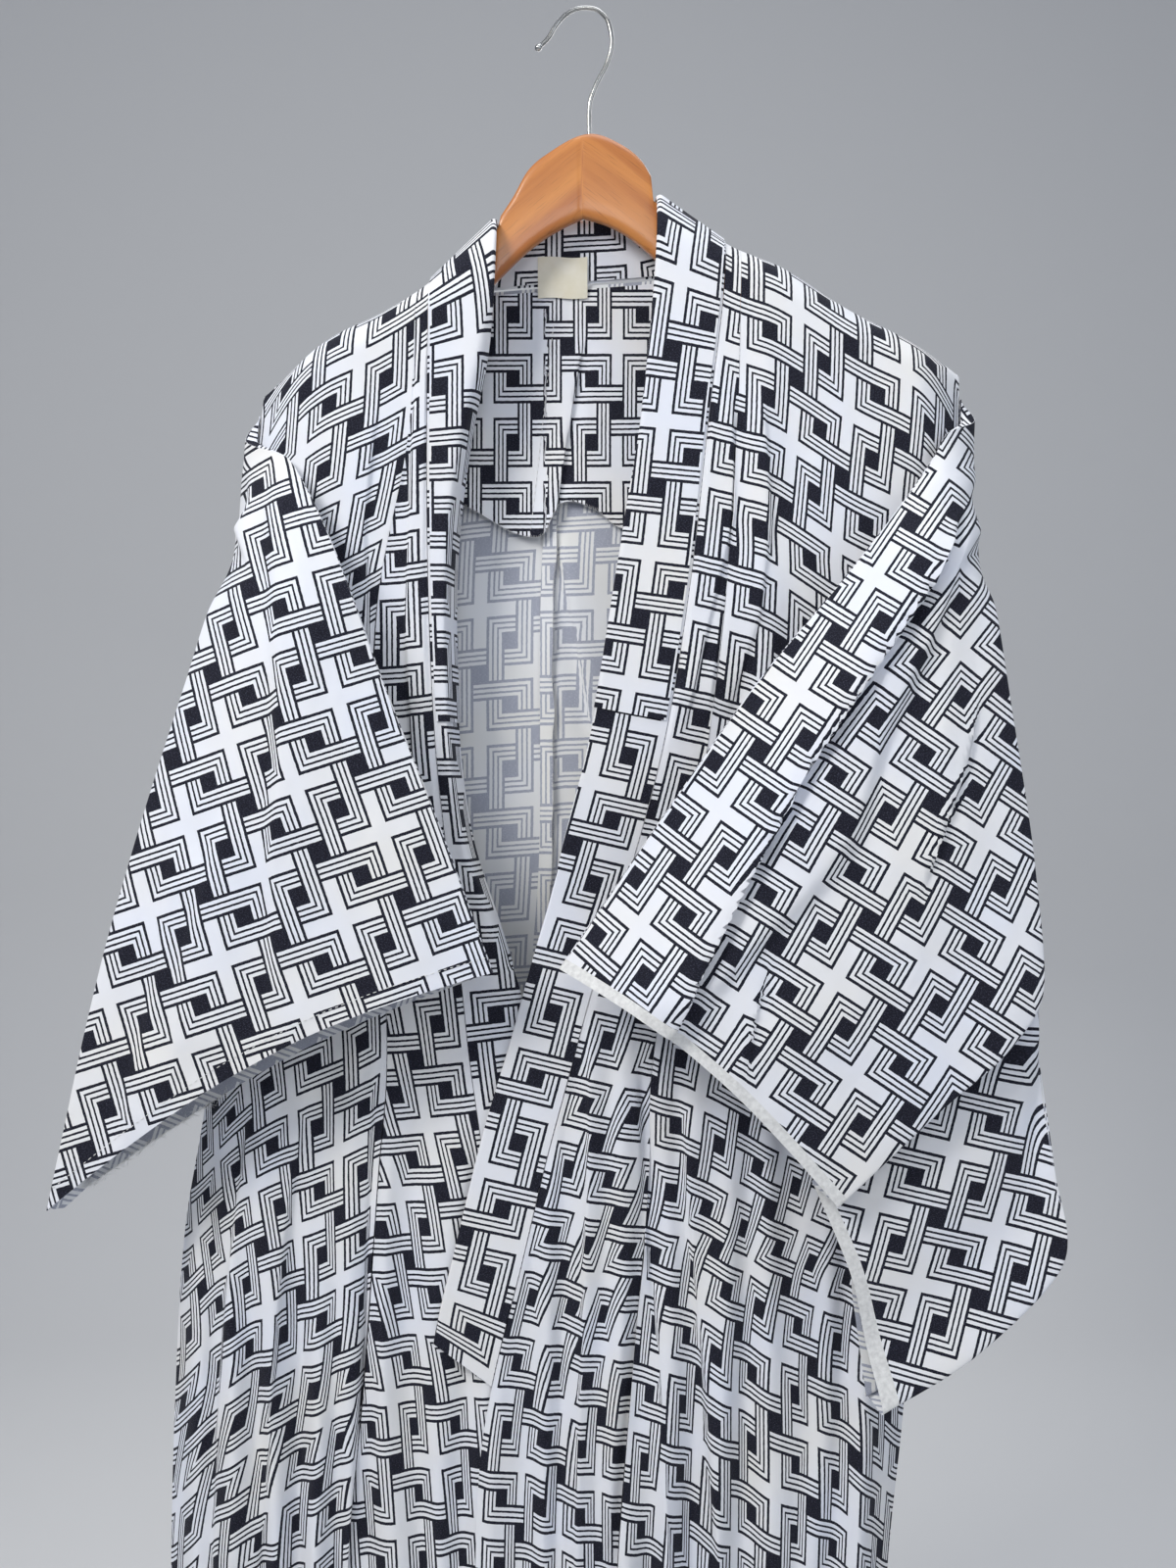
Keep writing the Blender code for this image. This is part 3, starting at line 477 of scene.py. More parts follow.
def ramps(share: ARRAY) -> ARRAY:
    """A soft step from 0 to 1 for many values."""
    share = np.clip(share, 0.0, 1.0)
    return share * share * (3 - 2 * share)


def lap_field(laps: Sequence[Lap], x: ARRAY, z: ARRAY) -> tuple[ARRAY, ARRAY, ARRAY]:
    """Height of the laps, the cloth hidden in them and their overhang.

    Args:
        laps: rows of laps.
        x: places across, metres.
        z: heights, metres.

    Returns:
        The height, the hidden cloth up to each point and the shift in X, in metres.
    """
    height, hidden, shift = np.zeros_like(x), np.zeros_like(x), np.zeros_like(x)
    fade, slow_fade, reach = 0.05, 0.30, 0.045
    for lap in laps:
        line = np.array(lap.line) * CM
        beside = x - np.interp(-z, -line[:, 1], line[:, 0])
        above = beside * lap.on_top
        width = lap.width * CM
        ends = ramps((line[0, 1] - z) / fade) * ramps((z - line[-1, 1]) / fade)
        top = ramps(above / width + 0.5) * np.exp(-((np.maximum(above, 0) / reach) ** 2))
        valley = np.exp(-(((above + width) / width) ** 2))
        height += lap.depth * CM * ends * (top - 0.3 * valley)
        grown = ramps((line[0, 1] - z) / slow_fade) * ramps((z - line[-1, 1]) / slow_fade)
        hidden += lap.take * CM * grown * ramps(beside / width + 0.5)
        odd = 2.33 * above / width * np.exp(-2 * (above / width) ** 2)
        shift -= lap.on_top * lap.over * CM * ends * odd
    return height, hidden, shift


class Skin(Enum):
    """Material places on a sheet of cloth."""

    OUTSIDE = 0
    INSIDE = 1
    RIM = 2
    HEM = 3


def cloth_mesh(
    name: str,
    grid: ARRAY,
    uv: ARRAY,
    wall: float,
    outward: float,
    closed: bool = False,
    hem_rows: int = 0,
) -> bpy.types.Object:
    """A sheet or tube of cloth with its thickness on the inside.

    Args:
        name: the piece's name.
        grid: points of the outside, rows by columns.
        uv: the print's place at each point, in metres.
        wall: thickness.
        outward: 1 or -1, the side on which grid_normals points out.
        closed: whether the columns meet round the end.
        hem_rows: how many of the last rows are turned and left unprinted.

    Returns:
        The object, with a material place for each Skin.
    """
    rows, columns = grid.shape[:2]
    inner = grid - grid_normals(grid, closed) * outward * wall
    verts = np.concatenate([grid.reshape(-1, 3), inner.reshape(-1, 3)])
    coords = np.concatenate([uv.reshape(-1, 2), uv.reshape(-1, 2)])
    back = rows * columns
    faces, skins = [], []
    reach = columns if closed else columns - 1

    def add(face: Sequence[int], skin: Skin) -> None:
        """Adds a face with the winding that points out."""
        faces.append(tuple(face) if outward < 0 else tuple(reversed(face)))
        skins.append(skin.value)

    for r in range(rows - 1):
        for c in range(reach):
            a, b = r * columns + c, r * columns + (c + 1) % columns
            hem = r >= rows - 1 - hem_rows
            add((a, b, b + columns, a + columns), Skin.HEM if hem else Skin.OUTSIDE)
            add((back + a, back + a + columns, back + b + columns, back + b), Skin.INSIDE)
    last = (rows - 1) * columns
    for c in range(reach):
        a, b = c, (c + 1) % columns
        add((b, a, back + a, back + b), Skin.RIM)
        add((last + a, last + b, back + last + b, back + last + a), Skin.RIM)
    if not closed:
        for r in range(rows - 1):
            a, b = r * columns, (r + 1) * columns
            add((a, b, back + b, back + a), Skin.RIM)
            a, b = a + columns - 1, b + columns - 1
            add((b, a, back + a, back + b), Skin.RIM)
    mesh = bpy.data.meshes.new(name)
    mesh.from_pydata(verts.tolist(), [], faces)
    layer = mesh.uv_layers.new(name="cloth")
    order = np.empty(len(mesh.loops), np.int32)
    mesh.loops.foreach_get("vertex_index", order)
    layer.data.foreach_set("uv", coords[order].astype(np.float32).ravel())
    mesh.polygons.foreach_set("material_index", np.array(skins, np.int32))
    mesh.update()
    mesh.shade_smooth()
    mesh.set_sharp_from_angle(angle=math.radians(60))
    piece = bpy.data.objects.new(name, mesh)
    bpy.context.scene.collection.objects.link(piece)
    return piece


def beads(path: ARRAY, pitch: float) -> tuple[ARRAY, ARRAY]:
    """Even places along a path.

    Args:
        path: the path's points.
        pitch: distance from place to place.

    Returns:
        The places, and the path's way at each.
    """
    run = np.concatenate([[0], np.cumsum(np.linalg.norm(np.diff(path, axis=0), axis=1))])
    at = np.arange(pitch / 2, run[-1], pitch)
    ways = np.gradient(path, axis=0)
    places = np.stack([np.interp(at, run, path[:, k]) for k in range(3)], axis=1)
    heads = np.stack([np.interp(at, run, ways[:, k]) for k in range(3)], axis=1)
    return places, heads / (np.linalg.norm(heads, axis=1, keepdims=True) + 1e-12)


def feed(
    tree: bpy.types.NodeTree, made: bpy.types.Node, inputs: dict[str | int, object]
) -> None:
    """Feeds a node's inputs.

    Args:
        tree: the node's tree.
        made: the node.
        inputs: by an input's name or number, its value or the output that feeds it.
    """
    for name, value in inputs.items():
        if isinstance(value, bpy.types.NodeSocket):
            tree.links.new(value, made.inputs[name])
        else:
            made.inputs[name].default_value = value


def node(
    tree: bpy.types.NodeTree,
    kind: str,
    inputs: dict[str | int, object] | None = None,
    **options: object,
) -> bpy.types.Node:
    """Adds a node.

    Args:
        tree: where it goes.
        kind: the node's type.
        inputs: what feeds it, as feed takes it.
        options: the node's own settings.

    Returns:
        The node.
    """
    made = tree.nodes.new(kind)
    for name, value in options.items():
        setattr(made, name, value)
    feed(tree, made, inputs or {})
    return made


def sockets(tree: bpy.types.NodeTree, direction: str, **kinds: str) -> None:
    """Adds a group's sockets.

    Args:
        tree: the group.
        direction: INPUT or OUTPUT.
        kinds: each socket's kind by its name.
    """
    for name, kind in kinds.items():
        tree.interface.new_socket(name, in_out=direction, socket_type=f"NodeSocket{kind}")


@dataclass(frozen=True)
class Threads:
    """Short lengths of thread set along a line by Geometry Nodes."""

    length: float
    radius: float
    spread: float
    wave: float
    seed: int
    half_lengths: tuple[float, float] = (0.35, 0.5)

    def group(self) -> bpy.types.NodeTree:
        """Builds the node group, once.

        Returns:
            The tree: it sets a thread on each point, along the attribute heading.
        """
        name = "Set threads"
        if name in bpy.data.node_groups:
            return bpy.data.node_groups[name]
        tree = bpy.data.node_groups.new(name, "GeometryNodeTree")
        sockets(
            tree, "INPUT", Geometry="Geometry", Length="Float", Radius="Float", Spread="Float",
            Wave="Float", Seed="Int", Material="Material",
        )
        sockets(tree, "OUTPUT", Geometry="Geometry")
        given = tree.nodes.new("NodeGroupInput").outputs
        heading = node(
            tree, "GeometryNodeInputNamedAttribute", {"Name": "heading"}, data_type="FLOAT_VECTOR"
        )
        tilt = node(
            tree, "FunctionNodeRandomValue",
            {"Min": (-1, -1, -1), "Max": (1, 1, 1), "Seed": given["Seed"]},
            data_type="FLOAT_VECTOR",
        )
        tilted = node(
            tree, "ShaderNodeVectorMath",
            {0: tilt.outputs["Value"], "Scale": given["Spread"]}, operation="SCALE",
        )
        way = node(
            tree, "ShaderNodeVectorMath",
            {0: heading.outputs["Attribute"], 1: tilted.outputs[0]}, operation="ADD",
        )
        align = node(
            tree, "FunctionNodeAlignRotationToVector", {"Vector": way.outputs[0]}, axis="Z"
        )
        shortest, longest = self.half_lengths
        vary = node(
            tree, "FunctionNodeRandomValue", {2: shortest, 3: longest, "Seed": given["Seed"]}
        )
        half = Expr(tree, vary.outputs[1]) * Expr(tree, given["Length"])
        size = node(
            tree, "ShaderNodeCombineXYZ", {0: given["Radius"], 1: given["Radius"], 2: half.socket}
        )
        strand = node(
            tree, "GeometryNodeMeshUVSphere", {"Segments": 6, "Rings": 8, "Radius": 1.0}
        )
        place = node(tree, "GeometryNodeInstanceOnPoints", {
            "Points": given["Geometry"], "Instance": strand.outputs["Mesh"],
            "Rotation": align.outputs[0], "Scale": size.outputs[0],
        })
        real = node(tree, "GeometryNodeRealizeInstances", {0: place.outputs["Instances"]})
        cloud = node(tree, "ShaderNodeTexNoise", {"Scale": 170.0})
        centred = node(
            tree, "ShaderNodeVectorMath",
            {0: cloud.outputs["Color"], 1: (0.5, 0.5, 0.5)}, operation="SUBTRACT",
        )
        waved = node(
            tree, "ShaderNodeVectorMath",
            {0: centred.outputs[0], "Scale": given["Wave"]}, operation="SCALE",
        )
        bend = node(
            tree, "GeometryNodeSetPosition",
            {"Geometry": real.outputs[0], "Offset": waved.outputs[0]},
        )
        dress = node(
            tree, "GeometryNodeSetMaterial",
            {"Geometry": bend.outputs[0], "Material": given["Material"]},
        )
        node(tree, "NodeGroupOutput", {0: dress.outputs[0]})
        return tree

    def lay(
        self, name: str, places: ARRAY, ways: ARRAY, material: bpy.types.Material
    ) -> bpy.types.Object:
        """Sets a thread at each place.

        Args:
            name: the piece's name.
            places: the threads' middles.
            ways: the threads' ways.
            material: their finish.

        Returns:
            The piece, as one mesh.
        """
        mesh = bpy.data.meshes.new(f"{name}_places")
        mesh.from_pydata(places.tolist(), [], [])
        heading = mesh.attributes.new("heading", "FLOAT_VECTOR", "POINT")
        heading.data.foreach_set("vector", ways.astype(np.float32).ravel())
        source = bpy.data.objects.new(f"{name}_places", mesh)
        bpy.context.scene.collection.objects.link(source)
        modifier = source.modifiers.new("threads", "NODES")
        modifier.node_group = self.group()
        values = {
            "Length": self.length,
            "Radius": self.radius,
            "Spread": self.spread,
            "Wave": self.wave,
            "Seed": self.seed,
            "Material": material,
        }
        for item in modifier.node_group.interface.items_tree:
            if item.in_out == "INPUT" and item.name in values:
                modifier[item.identifier] = values[item.name]
        bpy.context.view_layer.update()
        view = source.evaluated_get(bpy.context.evaluated_depsgraph_get())
        made = bpy.data.meshes.new_from_object(view)
        made.name = name
        source.modifiers.clear()
        bpy.data.objects.remove(source)
        made.shade_smooth()
        piece = bpy.data.objects.new(name, made)
        bpy.context.scene.collection.objects.link(piece)
        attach(piece, "root")
        return piece


class Expr:
    """A number in a shader tree, so that a rule can be written as a formula."""

    def __init__(self, tree: bpy.types.NodeTree, socket: object) -> None:
        """Holds an output socket or a plain number."""
        self.tree = tree
        self.socket = socket

    def _node(self, operation: str, *others: object) -> "Expr":
        """Adds a Math node fed by this number and others.

        Args:
            operation: what the node works out.
            others: the numbers that follow this one.

        Returns:
            The node's result.
        """
        fed = [value.socket if isinstance(value, Expr) else value for value in (self, *others)]
        made = node(self.tree, "ShaderNodeMath", dict(enumerate(fed)), operation=operation)
        return Expr(self.tree, made.outputs[0])

    def __add__(self, other: object) -> "Expr":
        """Sum."""
        return self._node("ADD", other)

    def __sub__(self, other: object) -> "Expr":
        """Difference."""
        return self._node("SUBTRACT", other)

    def __mul__(self, other: object) -> "Expr":
        """Product."""
        return self._node("MULTIPLY", other)

    def above(self, other: object) -> "Expr":
        """1 where this is greater."""
        return self._node("GREATER_THAN", other)

    def below(self, other: object) -> "Expr":
        """1 where this is less."""
        return self._node("LESS_THAN", other)

    def sine(self) -> "Expr":
        """Sine of this as an angle."""
        return self._node("SINE")

    def floor(self) -> "Expr":
        """Whole part."""
        return self._node("FLOOR")

    def wrap(self, size: float) -> "Expr":
        """Remainder from 0 to the size."""
        return self._node("WRAP", size, 0.0)

    def least(self, other: object) -> "Expr":
        """The smaller."""
        return self._node("MINIMUM", other)

    def most(self, other: object) -> "Expr":
        """The greater."""
        return self._node("MAXIMUM", other)

    def choose(self, no: "Expr", yes: "Expr") -> "Expr":
        """no where this is 0 and yes where it is 1."""
        return no + (yes - no) * self


@dataclass(frozen=True)
class FretPrint:
    """Interlocking fret: crosses on a dark ground, laced by three-line bands.

    Sizes are in widths of a cross's arm, except the two that give that width in metres.
    """

    arm_weft: float = 0.0111
    arm_warp: float = 0.0119
    tile: float = 4.60
    half_arm: float = 0.5
    outline: float = 0.205
    stripe: float = 0.230
    thread: float = 0.140

    @property
    def band(self) -> float:
        """Width of a band's three stripes."""
        return 3 * self.stripe + 2 * self.thread

    @property
    def outer(self) -> float:
        """From a cross's middle to the far side of its band."""
        return self.half_arm + self.outline + self.band

    @property
    def reach(self) -> float:
        """Length of a cross's arm from its middle."""
        return self.tile - self.outer - self.outline

    def stripes(self, depth: Expr) -> Expr:
        """The three pale lines of a band, by the depth into it.

        Args:
            depth: how far a place is from the arm's side, in arms.

        Returns:
            1 on a line, 0 off it.
        """
        start = depth - self.outline
        inside = start.above(0.0) * start.below(self.band)
        return inside * start.wrap(self.stripe + self.thread).below(self.stripe)

    def half(self, x: Expr, y: Expr) -> Expr:
        """The pale shapes of one half of a tile: a quarter cross and two bands.

        Args:
            x: place across the tile, in arms.
            y: place along the tile, in arms.

        Returns:
            1 on a pale shape, 0 off it.
        """
        arm = x.below(self.half_arm) * y.below(self.reach)
        arm = arm.most(y.below(self.half_arm) * x.below(self.reach))
        beyond = x.above(self.half_arm) * y.above(self.half_arm)
        corner = x.below(self.outer).most(y.below(self.outer) * x.below(self.reach))
        depth = (x - self.half_arm).least(y - self.half_arm)
        laced = beyond * corner * self.stripes(depth)
        level = y.above(self.half_arm) * y.below(self.outer)
        level = level * x.above(self.tile - self.half_arm)
        return arm.most(laced).most(level * self.stripes(y - self.half_arm))

    def group(self) -> bpy.types.NodeTree:
        """Builds the node group.

        Returns:
            A tree with the input Cloth, a place in metres, and the output Pale, 1 on the ground.
        """
        tree = bpy.data.node_groups.new("Fret print", "ShaderNodeTree")
        sockets(tree, "INPUT", Cloth="Vector")
        sockets(tree, "OUTPUT", Pale="Float")
        given = tree.nodes.new("NodeGroupInput")
        split = node(tree, "ShaderNodeSeparateXYZ", {0: given.outputs["Cloth"]})
        x = Expr(tree, split.outputs[0]) * (1 / self.arm_weft)
        y = Expr(tree, split.outputs[1]) * (-1 / self.arm_warp)
        odd = ((x * (1 / self.tile)).floor() + (y * (1 / self.tile)).floor()).wrap(2.0).above(0.5)
        x, y = x.wrap(self.tile), y.wrap(self.tile)
        turned_x, turned_y = y, (x * -1.0) + self.tile
        x, y = odd.choose(x, turned_x), odd.choose(y, turned_y)
        other = self.half((x * -1.0) + self.tile, (y * -1.0) + self.tile)
        pale = self.half(x, y).most(other)
        node(tree, "NodeGroupOutput", {"Pale": pale.socket})
        return tree


@dataclass(frozen=True)
class Weave:
    """Plain weave: fine relief, specks of white thread and slow variation."""

    pitch: float = 0.00055

    def group(self) -> bpy.types.NodeTree:
        """Builds the node group.

        Returns:
            A tree with the input Cloth and the outputs Height, Speck and Drift.
        """
        tree = bpy.data.node_groups.new("Plain weave", "ShaderNodeTree")
        sockets(tree, "INPUT", Cloth="Vector")
        sockets(tree, "OUTPUT", Height="Float", Speck="Float", Drift="Float")
        cloth = tree.nodes.new("NodeGroupInput").outputs["Cloth"]
        result = tree.nodes.new("NodeGroupOutput")
        split = node(tree, "ShaderNodeSeparateXYZ", {0: cloth})
        turns = 2 * math.pi / self.pitch
        warp = (Expr(tree, split.outputs[0]) * turns).sine()
        weft = (Expr(tree, split.outputs[1]) * turns).sine()
        feed(tree, result, {"Height": (warp * weft).socket})
        for name, stretch, scale, detail in (("Speck", 3.0, 700.0, 1.0), ("Drift", 1.0, 9.0, 3.0)):
            place = node(tree, "ShaderNodeMapping", {"Vector": cloth, "Scale": (1.0, stretch, 1.0)})
            cloud = node(
                tree, "ShaderNodeTexNoise",
                {"Vector": place.outputs[0], "Scale": scale, "Detail": detail},
            )
            feed(tree, result, {name: cloud.outputs["Fac"]})
        return tree


def linear(colour: tuple[int, int, int]) -> tuple[float, float, float, float]:
    """An 8-bit sRGB colour as linear light.

    Args:
        colour: red, green and blue, 0 to 255.

    Returns:
        Red, green, blue and alpha, 0 to 1.
    """
    parts = [c / 255 for c in colour]
    light = [p / 12.92 if p <= 0.04045 else ((p + 0.055) / 1.055) ** 2.4 for p in parts]
    return (*light, 1.0)


def blend(
    tree: bpy.types.NodeTree,
    value: bpy.types.NodeSocket,
    span: tuple[float, float],
    low: tuple[int, int, int],
    high: tuple[int, int, int],
) -> bpy.types.NodeSocket:
    """Shades two colours by a value.

    Args:
        tree: the material's tree.
        value: the output that steers the shade.
        span: the values of the first and the second colour.
        low: the first colour.
        high: the second colour.

    Returns:
        The colour's output.
    """
    shade = node(tree, "ShaderNodeValToRGB", {"Fac": value})
    for element, place, colour in zip(shade.color_ramp.elements, span, (low, high)):
        element.position = place
        element.color = linear(colour)
    return shade.outputs["Color"]


def new_material(name: str) -> tuple[bpy.types.Material, bpy.types.NodeTree, bpy.types.Node]:
    """Makes a plain material.

    Args:
        name: its name.

    Returns:
        The material, its tree and its Principled shader.
    """
    material = bpy.data.materials.new(name)
    material.use_nodes = True
    return material, material.node_tree, material.node_tree.nodes["Principled BSDF"]


@dataclass(frozen=True)
class PrintedCotton:
    """Cotton printed on its right side, with the ink's paler ghost on the other."""

    name: str
    ground: tuple[int, int, int]
    warm_ground: tuple[int, int, int]
    ink: tuple[int, int, int]
    ink_specks: tuple[int, int, int]
    roughness: float = 0.86
    bleed: float = 0.0003

    def material(self, fret: bpy.types.NodeTree, weave: bpy.types.NodeTree) -> bpy.types.Material:
        """Builds the material on the cloth's UV map.

        Args:
            fret: the print's node group.
            weave: the weave's node group.

        Returns:
            The material.
        """
        material, tree, shader = new_material(self.name)
        place = node(tree, "ShaderNodeUVMap", uv_map="cloth").outputs[0]
        edge = node(tree, "ShaderNodeTexNoise", {"Vector": place, "Scale": 260.0, "Detail": 1.0})
        soft = node(
            tree, "ShaderNodeMapRange",
            {"Value": edge.outputs["Fac"], "To Min": -self.bleed, "To Max": self.bleed},
        )
        shifted = node(tree, "ShaderNodeVectorMath", {0: place, 1: soft.outputs[0]}, operation="ADD")
        drawn = node(tree, "ShaderNodeGroup", node_tree=fret)
        feed(tree, drawn, {"Cloth": shifted.outputs[0]})
        woven = node(tree, "ShaderNodeGroup", node_tree=weave)
        feed(tree, woven, {"Cloth": place})
        ink = blend(tree, woven.outputs["Speck"], (0.56, 0.70), self.ink, self.ink_specks)
        ground = blend(tree, woven.outputs["Drift"], (0.35, 0.70), self.ground, self.warm_ground)
        colour = node(
            tree, "ShaderNodeMix",
            {"Factor": drawn.outputs["Pale"], "A": ink, "B": ground}, data_type="RGBA",
        )
        relief = node(
            tree, "ShaderNodeBump",
            {"Strength": 0.35, "Distance": 0.0002, "Height": woven.outputs["Height"]},
        )
        feed(tree, shader, {
            "Base Color": colour.outputs["Result"],
            "Normal": relief.outputs[0],
            "Roughness": self.roughness,
            "Sheen Weight": 0.05,
            "Sheen Roughness": 0.5,
            "Specular IOR Level": 0.25,
        })
        return material


@dataclass(frozen=True)
class PlainThread:
    """Plain undyed cotton: tape, thread and frayed ends."""

    name: str
    pale: tuple[int, int, int]
    deep: tuple[int, int, int]
    scale: float

    def material(self) -> bpy.types.Material:
        """Builds the material on Object coordinates.

        Returns:
            The material.
        """
        material, tree, shader = new_material(self.name)
        place = tree.nodes.new("ShaderNodeTexCoord").outputs["Object"]
        cloud = node(tree, "ShaderNodeTexNoise", {"Vector": place, "Scale": self.scale, "Detail": 4.0})
        weave = node(tree, "ShaderNodeTexWave", {"Vector": place, "Scale": 550.0, "Distortion": 1.5})
        relief = node(
            tree, "ShaderNodeBump",
            {"Strength": 0.4, "Distance": 0.0003, "Height": weave.outputs["Fac"]},
        )
        feed(tree, shader, {
            "Base Color": blend(tree, cloud.outputs["Fac"], (0.3, 0.7), self.pale, self.deep),
            "Normal": relief.outputs[0],
            "Roughness": 0.9,
            "Specular IOR Level": 0.2,
        })
        return material


@dataclass(frozen=True)
class VarnishedWood:
    """Orange-brown wood under a clear varnish, its grain along the UV map's first axis."""

    name: str = "varnished_wood"
    pale: tuple[int, int, int] = (206, 134, 64)
    deep: tuple[int, int, int] = (176, 104, 46)
    line: tuple[int, int, int] = (112, 62, 26)
    grain_scale: tuple[float, float, float] = (5.0, 60.0, 1.0)
    pore_scale: tuple[float, float, float] = (40.0, 900.0, 1.0)

    def material(self) -> bpy.types.Material:
        """Builds the material.

        Returns:
            The material.
        """
        material, tree, shader = new_material(self.name)
        place = node(tree, "ShaderNodeUVMap", uv_map="cloth").outputs[0]
        broad = node(tree, "ShaderNodeMapping", {"Vector": place, "Scale": self.grain_scale})
        grain = node(
            tree, "ShaderNodeTexNoise",
            {"Vector": broad.outputs[0], "Scale": 1.0, "Detail": 6.0, "Distortion": 0.3},
        )
        base = blend(tree, grain.outputs["Fac"], (0.32, 0.66), self.deep, self.pale)
        fine = node(tree, "ShaderNodeMapping", {"Vector": place, "Scale": self.pore_scale})
        pores = node(
            tree, "ShaderNodeTexNoise", {"Vector": fine.outputs[0], "Scale": 1.0, "Detail": 2.0}
        )
        limit = node(
            tree, "ShaderNodeMapRange",
            {"Value": pores.outputs["Fac"], "From Min": 0.58, "From Max": 0.72, "To Max": 0.4},
        )
        colour = node(
            tree, "ShaderNodeMix",
            {"Factor": limit.outputs[0], "A": base, "B": linear(self.line)}, data_type="RGBA",
        )
        relief = node(
            tree, "ShaderNodeBump",
            {"Strength": 0.15, "Distance": 0.0004, "Height": grain.outputs["Fac"]},
        )
        feed(tree, shader, {
            "Base Color": colour.outputs["Result"],
            "Normal": relief.outputs[0],
            "Roughness": 0.42,
            "Coat Weight": 0.5,
            "Coat Roughness": 0.18,
        })
        return material


@dataclass(frozen=True)
class PlatedWire:
    """Bright plated steel with faint drawing marks."""

    name: str = "plated_wire"
    pale: tuple[int, int, int] = (188, 188, 186)
    deep: tuple[int, int, int] = (158, 156, 150)

    def material(self) -> bpy.types.Material:
        """Builds the material on Object coordinates.

        Returns:
            The material.
        """
        material, tree, shader = new_material(self.name)
        place = tree.nodes.new("ShaderNodeTexCoord").outputs["Object"]
        cloud = node(tree, "ShaderNodeTexNoise", {"Vector": place, "Scale": 60.0, "Detail": 3.0})
        worn = node(
            tree, "ShaderNodeMapRange",
            {"Value": cloud.outputs["Fac"], "To Min": 0.18, "To Max": 0.30},
        )
        feed(tree, shader, {
            "Base Color": blend(tree, cloud.outputs["Fac"], (0.3, 0.8), self.pale, self.deep),
            "Roughness": worn.outputs[0],
            "Metallic": 1.0,
        })
        return material


@dataclass
class Finishes:
    """Every material of the object, built once."""

    outside: bpy.types.Material = field(init=False)
    reverse: bpy.types.Material = field(init=False)
    tape: bpy.types.Material = field(init=False)
    thread: bpy.types.Material = field(init=False)
    wood: bpy.types.Material = field(init=False)
    wire: bpy.types.Material = field(init=False)

    def __post_init__(self) -> None:
        """Builds the shared groups and the materials."""
        fret, weave = FretPrint().group(), Weave().group()
        self.outside = PrintedCotton(
            "printed_cotton", (236, 239, 248), (241, 240, 238), (22, 23, 35), (66, 68, 86)
        ).material(fret, weave)
        self.reverse = PrintedCotton(
            "cotton_reverse", (236, 238, 242), (238, 237, 232), (168, 172, 186), (206, 208, 216)
        ).material(fret, weave)
        self.tape = PlainThread("cream_cotton", (247, 243, 228), (236, 230, 208), 60.0).material()
        self.thread = PlainThread("white_thread", (240, 240, 238), (216, 216, 214), 300.0).material()
        self.wood = VarnishedWood().material()
        self.wire = PlatedWire().material()

    def dress(self, piece: bpy.types.Object, *materials: bpy.types.Material) -> None:
        """Gives a piece its materials in order."""
        for material in materials:
            piece.data.materials.append(material)


